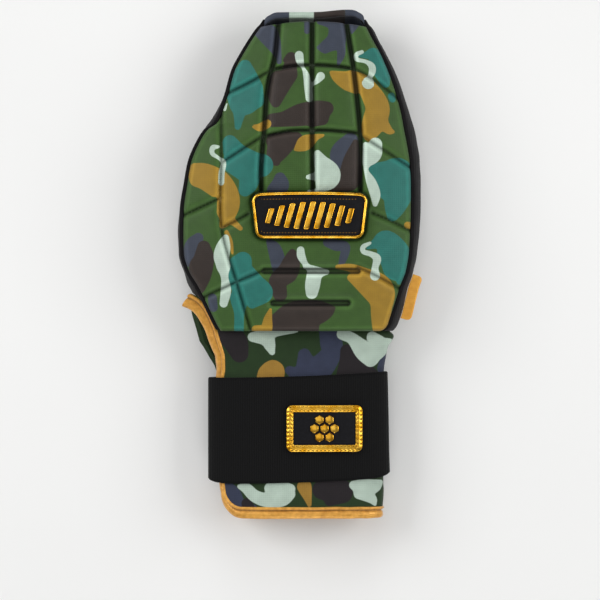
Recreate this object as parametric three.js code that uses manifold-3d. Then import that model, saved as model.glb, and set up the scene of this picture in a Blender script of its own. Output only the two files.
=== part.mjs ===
// Sliding mitt: two moulded pads joined by side walls, with a wrist cuff and a strap.
// It lies on its palm side. Millimetres: +X to the little finger, +Y to the fingertips, +Z up.
import * as THREE from "three";
import { mergeVertices } from "three/addons/utils/BufferGeometryUtils.js";
import Module from "manifold-3d";

const wasm = await Module();
wasm.setup();

// Driving sizes
const gap = 0.3; // left between pieces that touch on the real mitt
const shellLength = 176; // back pad, wrist end to tip
const shellHalfWidth = 64; // half of the back pad at its widest
const mittHeight = 48; // palm face to the crown of the back pad
const crownLine = 5.5; // the crown runs along the fingers, off the middle because of the thumb
const crownPower = 2.4; // how squarely the back pad turns down at its sides
const sideDrop = 11; // most that the back pad falls from its crown to its sides
const shellThick = 8; // back pad at its crown
const shellRimThick = 5.6; // back pad at its sides
const shellRimRound = 2.8; // radius of its upper edge
const tipBow = 2.8; // how far the middle of the tip stands past its corners
const palmThick = 7;
const palmSideRise = 4; // how far the palm pad's sides turn up off the surface
const tipCurl = 30; // height and length of the curl round the fingertips
const tipLip = 3.5; // wall of the curl where it stands in front of the back pad
const tipLipDrop = 1.2; // how far the lip ends below the back pad's face
const lipBow = 0.55; // bow of the lip, as a share of tipBow
const gussetWall = 1.8;
const thumbGussetStart = 0.122; // share of shellLength where the thumb side wall begins
const gussetBulge = 4.4; // most that a side wall swells past the pads
const channelWidth = 2.9; // main channels of the back pad
const channelDepth = 3.4;
const sideChannelWidth = 2.0; // channels that run out to the sides
const sideChannelDepth = 2.2;
const slotWidth = 3.4; // two closed slots over the wrist
const slotDepth = 3.8;
const badgeMiddle = 5; // of the badge, from the middle of the pads
const badgeAlong = 0.371; // share of shellLength
const badgeWidth = 66; // along its upper side
const badgeTaper = 4.3; // how far each end leans in towards its lower side
const badgeHeight = 25.4;
const badgeCorner = 4.5;
const badgeThick = 3.2;
const badgeFrameWidth = 2.1;
const badgeFrameHeight = 1.5;
const badgeSeat = 2.2; // depth of the pocket that the badge sits in
const badgeSeatClearance = 0.7; // round the badge in its pocket
const badgeBars = 9;
const badgeBarPitch = (0.765 * badgeWidth) / badgeBars;
const badgeBarWidth = 0.57 * badgeBarPitch;
const badgeBarHeight = 0.59 * badgeHeight;
const badgeBarLean = 0.28; // sideways for each unit of height
const badgeBarRaise = 1.1;
const cuffLength = 100.4; // from the wrist end of the pads to the hem
const cuffHalfWidth = 46.5;
const cuffCentre = 0.5;
const cuffTop = 32; // height of the cuff's back over the surface
const cuffWall = 3;
const cuffSquareness = 2.5; // exponent of the oval section
const cuffCorner = 11; // round lower corner of the cuff's free edge
const bindingWidth = 5.8; // gold tape, out from the edge that it covers
const bindingProud = 0.5; // how far the tape stands over the cuff's faces
const strapWidth = 60;
const strapThick = 1.6;
const strapFromPads = 26.4; // bare cuff between the pads and the strap
const strapThumbReach = 52.7; // outer face of the strap from the cuff's middle, on the thumb side
const strapRise = 3.3; // how far the strap climbs towards the little finger
const patchMiddle = 13.4;
const patchWidth = 43;
const patchHeight = 26.4;
const patchCorner = 3.4;
const patchThick = 1.4;
const patchFrameWidth = 4;
const patchFrameHeight = 1.2;
const sharpestCorner = 0.5; // inner corners of the frames
const patchStudSize = 2.7; // radius of a six-sided stud
const patchStudPitch = 5.7;
const patchStudRaise = 0.9;
const tagAlong = 0.112; // share of shellLength
const tagLevel = 0.5; // share of the side wall's height
const tagLength = 25;
const tagReach = 6;
const tagThick = 1.2;
const tagCorner = 1.8;

// Outline of the two pads and swell of the side walls, wrist to tip.
// along is a share of shellLength, thumb and finger of shellHalfWidth, swells of gussetBulge,
// bow of tipBow.
const outline = [
  { along: 0.0, thumb: -0.705, finger: 0.7, thumbSwell: 0.7, fingerSwell: 1.25, bow: 0 },
  { along: 0.006, thumb: -0.715, finger: 0.735, thumbSwell: 0.7, fingerSwell: 1.0, bow: 0 },
  { along: 0.018, thumb: -0.735, finger: 0.762, thumbSwell: 0.7, fingerSwell: 0.9, bow: 0 },
  { along: 0.045, thumb: -0.772, finger: 0.787, thumbSwell: 0.7, fingerSwell: 0.95, bow: 0 },
  { along: 0.104, thumb: -0.85, finger: 0.841, thumbSwell: 0.75, fingerSwell: 0.77, bow: 0 },
  { along: 0.148, thumb: -0.913, finger: 0.88, thumbSwell: 0.8, fingerSwell: 0.66, bow: 0 },
  { along: 0.192, thumb: -0.985, finger: 0.925, thumbSwell: 0.25, fingerSwell: 0.45, bow: 0 },
  { along: 0.25, thumb: -1.03, finger: 0.952, thumbSwell: 0.11, fingerSwell: 0.45, bow: 0 },
  { along: 0.31, thumb: -1.034, finger: 0.963, thumbSwell: 0.16, fingerSwell: 0.57, bow: 0 },
  { along: 0.39, thumb: -1.03, finger: 0.97, thumbSwell: 0.06, fingerSwell: 0.64, bow: 0 },
  { along: 0.468, thumb: -1.0, finger: 0.97, thumbSwell: 0, fingerSwell: 0.7, bow: 0 },
  { along: 0.54, thumb: -0.965, finger: 0.96, thumbSwell: 0, fingerSwell: 0.75, bow: 0 },
  { along: 0.606, thumb: -0.89, finger: 0.932, thumbSwell: 0.02, fingerSwell: 0.82, bow: 0 },
  { along: 0.645, thumb: -0.82, finger: 0.91, thumbSwell: 0.2, fingerSwell: 0.84, bow: 0 },
  { along: 0.666, thumb: -0.74, finger: 0.9, thumbSwell: 0.8, fingerSwell: 0.82, bow: 0 },
  { along: 0.69, thumb: -0.703, finger: 0.888, thumbSwell: 0.62, fingerSwell: 0.73, bow: 0 },
  { along: 0.757, thumb: -0.642, finger: 0.842, thumbSwell: 0.08, fingerSwell: 0.64, bow: 0 },
  { along: 0.837, thumb: -0.58, finger: 0.765, thumbSwell: 0, fingerSwell: 0.52, bow: 0 },
  { along: 0.89, thumb: -0.505, finger: 0.701, thumbSwell: 0, fingerSwell: 0.42, bow: 0 },
  { along: 0.949, thumb: -0.406, finger: 0.615, thumbSwell: 0, fingerSwell: 0.46, bow: 0.3 },
  { along: 0.968, thumb: -0.37, finger: 0.59, thumbSwell: 0.05, fingerSwell: 0.42, bow: 0.7 },
  { along: 0.979, thumb: -0.345, finger: 0.572, thumbSwell: 0.08, fingerSwell: 0.36, bow: 0.93 },
  { along: 0.984, thumb: -0.33, finger: 0.56, thumbSwell: 0.06, fingerSwell: 0.3, bow: 1 },
  { along: 1.0, thumb: -0.3, finger: 0.54, thumbSwell: 0, fingerSwell: 0.15, bow: 1 },
];
const backPadEnd = 0.984; // share of shellLength where the back pad's corners end

// Crown of the back pad: height is a share of mittHeight, drop of sideDrop.
const crown = [
  { along: -0.1, height: 0.855, drop: 0.55 },
  { along: 0.0, height: 0.87, drop: 0.57 },
  { along: 0.15, height: 0.94, drop: 0.8 },
  { along: 0.36, height: 1.0, drop: 1.0 },
  { along: 0.6, height: 0.995, drop: 1.0 },
  { along: 0.8, height: 0.93, drop: 0.85 },
  { along: 0.92, height: 0.85, drop: 0.7 },
  { along: 1.0, height: 0.78, drop: 0.6 },
];

// Channels moulded in the back pad. Each point is [share of shellHalfWidth, share of shellLength].
const mainChannels = [
  [[-0.19, 1.01], [-0.225, 0.88], [-0.27, 0.815], [-0.3, 0.745], [-0.318, 0.65], [-0.345, 0.53], [-0.345, 0.44]],
  [[0.1, 1.01], [0.098, 0.72], [0.105, 0.45]],
  [[0.39, 1.01], [0.43, 0.917], [0.46, 0.846], [0.485, 0.77], [0.51, 0.68], [0.523, 0.6], [0.52, 0.44]],
  [[-0.26, 0.834], [-0.09, 0.845], [0.1, 0.849], [0.285, 0.846], [0.46, 0.838]],
  [[-0.33, 0.62], [-0.1, 0.637], [0.1, 0.639], [0.285, 0.638], [0.52, 0.63]],
];
const sideChannels = [
  [[-0.7, 0.7], [-0.695, 0.56], [-0.705, 0.4], [-0.685, 0.31], [-0.62, 0.224], [-0.555, 0.148], [-0.43, -0.01]],
  [[-0.68, 0.755], [-0.47, 0.79], [-0.27, 0.83]],
  [[0.46, 0.84], [0.65, 0.8], [0.86, 0.743]],
  [[-0.69, 0.538], [-0.5, 0.582], [-0.33, 0.622]],
  [[0.52, 0.625], [0.74, 0.575], [0.98, 0.52]],
  [[-1.05, 0.367], [-0.88, 0.395], [-0.7, 0.425]],
  [[-0.69, 0.33], [-0.57, 0.351], [-0.46, 0.373]],
  [[0.62, 0.377], [0.79, 0.352], [0.98, 0.318]],
  [[-0.9, 0.1], [-0.62, 0.148], [-0.35, 0.19]],
  [[0.5, 0.204], [0.69, 0.172], [0.9, 0.13]],
];
const slots = [
  { middle: 0.08, halfLength: 0.425, along: 0.192 },
  { middle: 0.088, halfLength: 0.343, along: 0.09 },
];

// Sections of the cuff, pads to hem. along is a share of cuffLength, negative under the pads.
// back, palm and finger are shares of cuffHalfWidth: the free edge over the back of the wrist,
// the free edge under the palm, and the folded side. turn and palmTurn are how far round the oval
// those two edges lie, in degrees. top is a share of cuffTop, bottom of palmThick.
const sections = [
  { along: -0.2, back: 1.38, palm: 1.34, finger: 1.06, turn: 120, palmTurn: -150, top: 0.955, bottom: 1.12 },
  { along: -0.183, back: 1.3, palm: 1.365, finger: 1.06, turn: 121, palmTurn: -150, top: 0.955, bottom: 1.12 },
  { along: -0.15, back: 1.215, palm: 1.36, finger: 1.06, turn: 122, palmTurn: -150, top: 0.955, bottom: 1.12 },
  { along: -0.11, back: 1.155, palm: 1.352, finger: 1.06, turn: 123, palmTurn: -150, top: 0.955, bottom: 1.12 },
  { along: -0.014, back: 1.062, palm: 1.295, finger: 1.055, turn: 127, palmTurn: -150, top: 0.955, bottom: 1.12 },
  { along: 0.03, back: 1.037, palm: 1.27, finger: 1.128, turn: 130, palmTurn: -150, top: 0.97, bottom: 0.95 },
  { along: 0.06, back: 1.018, palm: 1.252, finger: 1.098, turn: 132, palmTurn: -150, top: 0.985, bottom: 0.75 },
  { along: 0.09, back: 0.997, palm: 1.21, finger: 1.058, turn: 134, palmTurn: -150, top: 0.995, bottom: 0.62 },
  { along: 0.15, back: 0.963, palm: 1.135, finger: 1.03, turn: 140, palmTurn: -153, top: 0.98, bottom: 0.56 },
  { along: 0.21, back: 0.963, palm: 1.06, finger: 1.01, turn: 146, palmTurn: -159, top: 0.972, bottom: 0.543 },
  { along: 0.27, back: 0.975, palm: 1.03, finger: 1.0, turn: 152, palmTurn: -165, top: 0.97, bottom: 0.543 },
  { along: 0.56, back: 0.985, palm: 1.0, finger: 1.0, turn: 156, palmTurn: -165, top: 0.97, bottom: 0.543 },
  { along: 0.86, back: 0.975, palm: 0.985, finger: 1.0, turn: 156, palmTurn: -165, top: 0.97, bottom: 0.543 },
  { along: 0.9, back: 0.965, palm: 0.98, finger: 1.005, turn: 156, palmTurn: -165, top: 0.99, bottom: 0.543 },
  { along: 0.95, back: 0.955, palm: 0.97, finger: 1.0, turn: 155, palmTurn: -165, top: 0.995, bottom: 0.543 },
  { along: 1.0, back: 0.945, palm: 0.96, finger: 0.99, turn: 154, palmTurn: -165, top: 0.99, bottom: 0.543 },
];

// Reads one column of a table at a place between its rows.
function read(table, column, along) {
  const next = table.findIndex((row) => row.along >= along);
  if (next < 0) return table.at(-1)[column];
  if (next === 0) return table[0][column];
  const a = table[next - 1];
  const b = table[next];
  return THREE.MathUtils.lerp(a[column], b[column], (along - a.along) / (b.along - a.along));
}

// A geometry from points and triangles, turned so that its faces point outwards.
function closedGeometry(points, faces) {
  const volume = faces.reduce((sum, at, k) => {
    if (k % 3) return sum;
    const [a, b, c] = [points[at], points[faces[k + 1]], points[faces[k + 2]]];
    return sum + a.dot(b.clone().cross(c));
  }, 0);
  const index = volume < 0 ? faces.toReversed() : faces;
  const geometry = new THREE.BufferGeometry().setFromPoints(points);
  geometry.setIndex(index);
  return geometry;
}

// A closed solid between two matching grids of points. A ringed one joins its last row to its first.
function sheetSolid(outer, inner, ringed = false) {
  const rows = outer.length;
  const cols = outer[0].length;
  const faces = [];
  const at = (side, i, j) => (side * rows + (i % rows)) * cols + j;
  const quad = (a, b, c, d) => faces.push(a, b, c, a, c, d);
  const last = cols - 1;
  const end = ringed ? rows : rows - 1;
  for (let i = 0; i < end; i++) {
    for (let j = 0; j < last; j++) {
      quad(at(0, i, j), at(0, i + 1, j), at(0, i + 1, j + 1), at(0, i, j + 1));
      quad(at(1, i, j), at(1, i, j + 1), at(1, i + 1, j + 1), at(1, i + 1, j));
    }
    quad(at(0, i, 0), at(1, i, 0), at(1, i + 1, 0), at(0, i + 1, 0));
    quad(at(0, i, last), at(0, i + 1, last), at(1, i + 1, last), at(1, i, last));
  }
  for (let j = 0; j < last && !ringed; j++) {
    quad(at(0, 0, j), at(0, 0, j + 1), at(1, 0, j + 1), at(1, 0, j));
    quad(at(0, end, j), at(1, end, j), at(1, end, j + 1), at(0, end, j + 1));
  }
  return closedGeometry([...outer.flat(), ...inner.flat()], faces);
}

// Cuts and joins
function toSolid(geometry) {
  const bare = geometry.clone();
  bare.deleteAttribute("normal");
  bare.deleteAttribute("uv");
  const merged = mergeVertices(bare, 1e-4);
  const vertProperties = new Float32Array(merged.attributes.position.array);
  const triVerts = new Uint32Array(merged.index.array);
  return new wasm.Manifold(new wasm.Mesh({ numProp: 3, vertProperties, triVerts }));
}

function toGeometry(solid) {
  const mesh = solid.getMesh();
  const geometry = new THREE.BufferGeometry();
  geometry.setAttribute("position", new THREE.BufferAttribute(mesh.vertProperties, 3));
  geometry.setIndex(new THREE.BufferAttribute(mesh.triVerts, 1));
  return geometry;
}

function carve(geometry, cutters) {
  const cutter = cutters.map(toSolid).reduce((all, one) => all.add(one));
  return toGeometry(toSolid(geometry).subtract(cutter));
}

// Side of the pads' outline: thumb or finger
function edgeX(side, along) {
  return shellHalfWidth * read(outline, side, along);
}

// How far a place is from the crown line to the edge, 0 to 1.
function crownShare(x, along) {
  const reach = x < crownLine ? crownLine - edgeX("thumb", along) : edgeX("finger", along) - crownLine;
  return Math.min(1, Math.abs(x - crownLine) / reach);
}

// Upper face of the back pad before its edge is rounded.
function backFace(x, y) {
  const along = y / shellLength;
  const fall = sideDrop * read(crown, "drop", along) * crownShare(x, along) ** crownPower;
  return mittHeight * read(crown, "height", along) - fall;
}

function roundedFall(distance) {
  const left = Math.max(0, shellRimRound - distance);
  return shellRimRound - Math.sqrt(shellRimRound ** 2 - left ** 2);
}

// Places across a pad, from its thumb edge to its finger edge, closer together at the edges.
function acrossPad(thumb, finger) {
  const insets = [0, 0.25 * shellRimRound, shellRimRound];
  const from = thumb + shellRimRound;
  const to = finger - shellRimRound;
  const middle = [0.12, 0.27, 0.42, 0.57, 0.72, 0.87].map((share) => THREE.MathUtils.lerp(from, to, share));
  return [...insets.map((d) => thumb + d), ...middle, ...insets.map((d) => finger - d).reverse()];
}

function backShell() {
  const rows = outline.filter((row) => row.along <= backPadEnd);
  const upper = [];
  const under = [];
  for (const row of rows) {
    const thumb = edgeX("thumb", row.along);
    const finger = edgeX("finger", row.along);
    const half = (finger - thumb) / 2;
    const top = [];
    const low = [];
    for (const x of acrossPad(thumb, finger)) {
      const across = (x - (thumb + finger) / 2) / half;
      const bow = tipBow * (1 - across ** 2);
      const y = row.along * shellLength + row.bow * bow;
      const endDistance = Math.min(y, backPadEnd * shellLength + bow - y);
      const sideDistance = Math.min(x - thumb, finger - x);
      const face = backFace(x, row.along * shellLength);
      const thick = THREE.MathUtils.lerp(shellThick, shellRimThick, crownShare(x, row.along) ** 2);
      const fall = Math.max(roundedFall(sideDistance), roundedFall(endDistance));
      top.push(new THREE.Vector3(x, y, face - fall));
      low.push(new THREE.Vector3(x, y, face - thick));
    }
    upper.push(top);
    under.push(low);
  }
  const cutters = [
    ...mainChannels.map((route) => channelCutter(route, channelWidth, channelDepth)),
    ...sideChannels.map((route) => channelCutter(route, sideChannelWidth, sideChannelDepth)),
    ...slots.map(slotCutter),
    plateSolid(badge, badgeSeatClearance, -badgeSeat, channelDepth),
  ];
  return carve(sheetSolid(upper, under), cutters);
}

// A ribbon along a route over the back pad, wide above the face and narrow at the channel's bed.
function ribbonCutter(places, widthAt, depth) {
  const bedShare = 0.5;
  const above = 1.5;
  const upper = [];
  const lower = [];
  places.forEach((place, k) => {
    const ahead = places[Math.min(k + 1, places.length - 1)];
    const behind = places[Math.max(k - 1, 0)];
    const side = new THREE.Vector2(behind.y - ahead.y, ahead.x - behind.x).normalize();
    const half = widthAt(k) / 2;
    const face = backFace(place.x, place.y);
    const at = (reach, z) => new THREE.Vector3(place.x + side.x * reach, place.y + side.y * reach, z);
    upper.push([at(-half * (1 + above / depth), face + above), at(half * (1 + above / depth), face + above)]);
    lower.push([at(-half * bedShare, face - depth), at(half * bedShare, face - depth)]);
  });
  return sheetSolid(upper, lower);
}

function channelCutter(route, width, depth) {
  const stepLength = 9;
  const points = route.map(([x, y]) => new THREE.Vector2(x * shellHalfWidth, y * shellLength));
  const curve = new THREE.SplineCurve(points);
  const steps = Math.max(2, Math.round(curve.getLength() / stepLength));
  return ribbonCutter(curve.getSpacedPoints(steps), () => width, depth);
}

function slotCutter(slot) {
  const shares = [-1, -0.985, -0.95, -0.5, 0, 0.5, 0.95, 0.985, 1];
  const widths = [0.25, 0.7, 1, 1, 1, 1, 1, 0.7, 0.25];
  const places = shares.map((share) => {
    const x = shellHalfWidth * (slot.middle + share * slot.halfLength);
    return new THREE.Vector2(x, slot.along * shellLength);
  });
  return ribbonCutter(places, (k) => slotWidth * widths[k], slotDepth);
}

// Path of the palm pad's outer face in side view, and the direction in from it.
function palmPath(share) {
  const flat = shellLength + tipLip + gap - tipCurl;
  const angle = (share * Math.PI) / 2;
  const y = flat + tipCurl * Math.sin(angle);
  return { y, z: tipCurl * (1 - Math.cos(angle)), inward: [-Math.sin(angle), Math.cos(angle)] };
}

// Height of the palm pad's outer face over the surface.
function palmFace(y) {
  const flat = palmPath(0).y;
  const share = THREE.MathUtils.clamp((y - flat) / tipCurl, 0, 1);
  return tipCurl * (1 - Math.sqrt(1 - share ** 2));
}

function palmShell() {
  const flatEnd = palmPath(0).y;
  const stations = outline
    .filter((row) => row.along * shellLength < flatEnd - 4)
    .map((row) => ({ y: row.along * shellLength, z: 0, inward: [0, 1], curl: 0 }));
  for (const curl of [0, 0.2, 0.4, 0.58, 0.74, 0.88, 1]) stations.push({ ...palmPath(curl), curl });
  const lipStart = stations.at(-1);
  stations.push({ ...lipStart, rim: 0.5 }, { ...lipStart, rim: 1 });
  const outer = [];
  const inner = [];
  for (const station of stations) {
    const along = Math.min(1, station.y / shellLength);
    const thumb = edgeX("thumb", along);
    const finger = edgeX("finger", along);
    const thick = THREE.MathUtils.lerp(palmThick, tipLip, station.curl);
    const sideways = THREE.MathUtils.smoothstep(along, 0.1, 0.3) * (1 - station.curl);
    const out = [];
    const inn = [];
    for (const x of acrossPad(thumb, finger)) {
      const across = Math.abs(x - (thumb + finger) / 2) / ((finger - thumb) / 2);
      const turnUp = palmSideRise * sideways * THREE.MathUtils.smoothstep(across, 0.8, 1);
      const bow = lipBow * tipBow * across ** 4 * station.curl;
      const lipTop = backFace(x, backPadEnd * shellLength) - tipLipDrop;
      const z = THREE.MathUtils.lerp(station.z, lipTop, station.rim ?? 0);
      const [inY, inZ] = station.inward;
      out.push(new THREE.Vector3(x, station.y + inY * turnUp - bow, z + inZ * turnUp));
      const depth = turnUp + thick;
      inn.push(new THREE.Vector3(x, station.y + inY * depth - bow, z + inZ * depth));
    }
    outer.push(out);
    inner.push(inn);
  }
  return sheetSolid(outer, inner);
}

// A side wall from the palm pad to the back pad. side is thumb or finger, out is -1 or 1.
function gussetPoint(side, out, along, share, depth) {
  const y = along * shellLength;
  const edge = edgeX(side, along);
  const low = palmFace(y) + palmSideRise + gap;
  const high = backFace(edge, Math.min(y, backPadEnd * shellLength)) - shellRimRound;
  const swell = gussetBulge * read(outline, side + "Swell", along) * Math.sin(Math.PI * share) ** 0.7;
  const x = edge + out * (gap + depth + swell);
  return new THREE.Vector3(x, y, THREE.MathUtils.lerp(low, high, share));
}

function gusset(side, out, start) {
  const shares = [0, 0.12, 0.3, 0.5, 0.7, 0.88, 1];
  const stations = [start, ...outline.map((row) => row.along).filter((along) => along > start)];
  const wall = (depth) =>
    stations.map((along) => shares.map((share) => gussetPoint(side, out, along, share, depth)));
  return sheetSolid(wall(gussetWall), wall(0));
}

// A point of an oval section. reach holds its half width to the left above, left below and right.
function ovalPoint(turn, reach, middle, half) {
  const angle = THREE.MathUtils.degToRad(turn);
  const power = 2 / cuffSquareness;
  const c = Math.cos(angle);
  const s = Math.sin(angle);
  const width = c > 0 ? reach.finger : s > 0 ? reach.back : reach.palm;
  const x = cuffCentre + Math.sign(c) * width * Math.abs(c) ** power;
  return new THREE.Vector2(x, middle + Math.sign(s) * half * Math.abs(s) ** power);
}

// Half widths of the cuff's oval that put its free edges where the table says.
function cuffReach(row) {
  const power = 2 / cuffSquareness;
  const pull = (turn) => Math.abs(Math.cos(THREE.MathUtils.degToRad(turn))) ** power;
  return {
    back: (cuffHalfWidth * row.back) / pull(row.turn),
    palm: (cuffHalfWidth * row.palm) / pull(row.palmTurn),
    finger: cuffHalfWidth * row.finger,
  };
}

// Outer and inner points of the cuff: rows run from the pads to the hem, columns round the wrist.
function cuffGrid() {
  const steps = 30;
  const outer = [];
  const inner = [];
  for (const row of sections) {
    const reach = cuffReach(row);
    const thin = { back: reach.back - cuffWall, palm: reach.palm - cuffWall, finger: reach.finger - cuffWall };
    const top = cuffTop * row.top;
    const bottom = palmThick * row.bottom;
    const middle = (top + bottom) / 2;
    const half = (top - bottom) / 2;
    const out = [];
    const inn = [];
    for (let k = 0; k <= steps; k++) {
      const turn = THREE.MathUtils.lerp(row.turn, row.palmTurn, k / steps);
      const a = ovalPoint(turn, reach, middle, half);
      const b = ovalPoint(turn, thin, middle, half - cuffWall);
      const y = -row.along * cuffLength;
      out.push(new THREE.Vector3(a.x, y, a.y));
      inn.push(new THREE.Vector3(b.x, y, b.y));
    }
    outer.push(out);
    inner.push(inn);
  }
  roundCorner(outer, inner);
  return { outer, inner };
}

// Rounds the lower corner of the free edge over the back of the wrist.
function roundCorner(outer, inner) {
  const hem = outer.length - 1;
  const start = outer[hem][0];
  for (let k = 0; k < outer[hem].length; k++) {
    const left = Math.max(0, cuffCorner - outer[hem][k].distanceTo(start));
    const lift = cuffCorner - Math.sqrt(cuffCorner ** 2 - left ** 2);
    for (let i = 0; i <= hem; i++) {
      const fromHem = outer[i][k].y + cuffLength;
      const share = Math.max(0, 1 - fromHem / (2 * cuffCorner));
      outer[i][k].y += lift * share;
      inner[i][k].y += lift * share;
    }
  }
}

function cuff() {
  const { outer, inner } = cuffGrid();
  return sheetSolid(outer, inner);
}

// Gold tape down the cuff's free edge, round the corner and along the hem.
function edgeBinding() {
  const { outer, inner } = cuffGrid();
  const hem = outer.length - 1;
  const edge = outer.map((row, i) => ({ out: row[0], inn: inner[i][0], from: row[1] }));
  for (let j = 1; j < outer[hem].length; j++) {
    edge.push({ out: outer[hem][j], inn: inner[hem][j], from: outer[hem - 1][j] });
  }
  const upper = [];
  const lower = [];
  const shares = [0, 0.35, 0.75, 1];
  const fullness = [1, 1, 0.9, 0.3];
  edge.forEach((here, k) => {
    const ahead = edge[Math.min(k + 1, edge.length - 1)].out;
    const behind = edge[Math.max(k - 1, 0)].out;
    const normal = here.out.clone().sub(here.inn).normalize();
    const away = ahead.clone().sub(behind).cross(normal).normalize();
    if (away.dot(here.out.clone().sub(here.from)) < 0) away.negate();
    const wall = here.out.distanceTo(here.inn);
    const middle = here.out.clone().add(here.inn).multiplyScalar(0.5);
    const at = (share, side) => {
      const reach = THREE.MathUtils.lerp(gap, bindingWidth, shares[share]);
      const half = (wall / 2 + bindingProud) * fullness[share];
      return middle.clone().addScaledVector(away, reach).addScaledVector(normal, side * half);
    };
    upper.push(shares.map((_, share) => at(share, 1)));
    lower.push(shares.map((_, share) => at(share, -1)));
  });
  return sheetSolid(upper, lower);
}

// The strap's oval: spare is its distance out from the cuff's outer face.
const strapRow = sections.find((row) => row.along === 0.56);
const strapTop = cuffTop * strapRow.top;
const strapBottom = palmThick * strapRow.bottom;

function strapPoint(turn, spare) {
  const thumb = strapThumbReach - strapThick - gap + spare;
  const finger = cuffHalfWidth * strapRow.finger + spare;
  const half = (strapTop - strapBottom) / 2 + spare;
  return ovalPoint(turn, { back: thumb, palm: thumb, finger }, (strapTop + strapBottom) / 2, half);
}

// Distance along the wrist of a place on the strap. across runs from its pad side to its hem side.
function strapY(x, across) {
  const share = (x - cuffCentre + strapThumbReach) / (strapThumbReach + cuffHalfWidth);
  return strapRise * share ** 2 - strapFromPads - across * strapWidth;
}

// One turn and a lap: it starts under the palm, goes up the thumb side and ends below its start.
function strap() {
  const steps = 46;
  const start = 262;
  const turns = -410;
  const lapFrom = -300;
  const outer = [];
  const inner = [];
  for (const across of [0, 0.04, 0.5, 0.96, 1]) {
    const out = [];
    const inn = [];
    for (let k = 0; k <= steps; k++) {
      const turned = (turns * k) / steps;
      const lap = (strapThick + gap) * THREE.MathUtils.smoothstep(-turned, -lapFrom, -lapFrom + 45);
      const b = strapPoint(start + turned, gap + lap);
      const a = strapPoint(start + turned, gap + lap + strapThick);
      out.push(new THREE.Vector3(a.x, strapY(a.x, across), a.y));
      inn.push(new THREE.Vector3(b.x, strapY(b.x, across), b.y));
    }
    outer.push(out);
    inner.push(inn);
  }
  return sheetSolid(outer, inner);
}

// Height of the strap's outer face over the back of the wrist.
function strapFace(x) {
  const spare = gap + strapThick;
  const reach = x < cuffCentre ? strapThumbReach : cuffHalfWidth * strapRow.finger + spare;
  const share = Math.min(1, Math.abs(x - cuffCentre) / reach);
  const half = (strapTop - strapBottom) / 2 + spare;
  const rise = (1 - share ** cuffSquareness) ** (1 / cuffSquareness);
  return (strapTop + strapBottom) / 2 + half * rise;
}

// The two moulded plates: where they lie, their outline and the face that they sit on
const badge = {
  x: badgeMiddle, y: badgeAlong * shellLength, width: badgeWidth, height: badgeHeight,
  taper: badgeTaper, corner: badgeCorner, face: backFace,
};
const patch = {
  x: patchMiddle, y: strapY(patchMiddle, 0.5), width: patchWidth, height: patchHeight,
  taper: 0, corner: patchCorner, face: strapFace,
};
const badgeTop = gap - badgeSeat + badgeThick;
const patchTop = gap + patchThick;

function plateCorner(plate, grow) {
  return Math.max(sharpestCorner, plate.corner + grow);
}

// Half width of a plate at a distance v up from its middle. grow is added all round it.
function plateHalf(plate, v, grow) {
  const corner = plateCorner(plate, grow);
  const into = Math.max(0, corner - (plate.height / 2 + grow - Math.abs(v)));
  const lean = plate.taper * (0.5 - v / plate.height);
  return plate.width / 2 + grow - lean - (corner - Math.sqrt(Math.max(0, corner ** 2 - into ** 2)));
}

// Distances up from a plate's middle, closer together at its round corners.
function plateLevels(plate, grow) {
  const corner = plateCorner(plate, grow);
  const turns = [90, 62, 35, 0].map(THREE.MathUtils.degToRad);
  const upper = turns.map((turn) => plate.height / 2 + grow - corner * (1 - Math.sin(turn)));
  return [...upper, ...upper.toReversed().map((v) => -v)];
}

function plateSolid(plate, grow, low, high) {
  const across = [-1, -0.75, -0.5, -0.25, 0, 0.25, 0.5, 0.75, 1];
  const grid = (lift) =>
    plateLevels(plate, grow).map((v) =>
      across.map((share) => {
        const x = plate.x + share * plateHalf(plate, v, grow);
        const y = plate.y + v;
        return new THREE.Vector3(x, y, plate.face(x, y) + lift);
      }),
    );
  return sheetSolid(grid(high), grid(low));
}

// Points round a plate's outline, from its middle.
function platePoints(plate, grow) {
  const levels = plateLevels(plate, grow);
  const right = levels.map((v) => new THREE.Vector2(plateHalf(plate, v, grow), v));
  const left = right.toReversed().map((p) => new THREE.Vector2(-p.x, p.y));
  const between = (a, b) => [0.2, 0.4, 0.6, 0.8].map((share) => a.clone().lerp(b, share));
  return [...right, ...between(right.at(-1), left[0]), ...left, ...between(left.at(-1), right[0])];
}

// A raised rim round a plate, highest along its middle
function plateFrame(plate, top, width, height) {
  const rings = [0, -0.3 * width, -0.7 * width, -width].map((grow) => platePoints(plate, grow));
  const rise = [0.6, 1, 1, 0.6];
  const point = (ring, k, lift) => {
    const x = plate.x + rings[ring][k].x;
    const y = plate.y + rings[ring][k].y;
    return new THREE.Vector3(x, y, plate.face(x, y) + top + gap + lift);
  };
  const upper = rings[0].map((_, k) => rise.map((share, ring) => point(ring, k, share * height)));
  const lower = rings[0].map((_, k) => rise.map((_, ring) => point(ring, k, 0)));
  return sheetSolid(upper, lower, true);
}

// A flat shape raised over a plate's own face, from low up by thick
function onFace(plate, shape, low, thick) {
  const geometry = new THREE.ExtrudeGeometry(shape, { depth: thick, bevelEnabled: false, steps: 1 });
  const places = geometry.attributes.position;
  for (let k = 0; k < places.count; k++) {
    const x = plate.x + places.getX(k);
    const y = plate.y + places.getY(k);
    places.setXYZ(k, x, y, plate.face(x, y) + low + places.getZ(k));
  }
  return geometry;
}

function polygon(points) {
  return new THREE.Shape(points.map(([x, y]) => new THREE.Vector2(x, y)));
}

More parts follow.
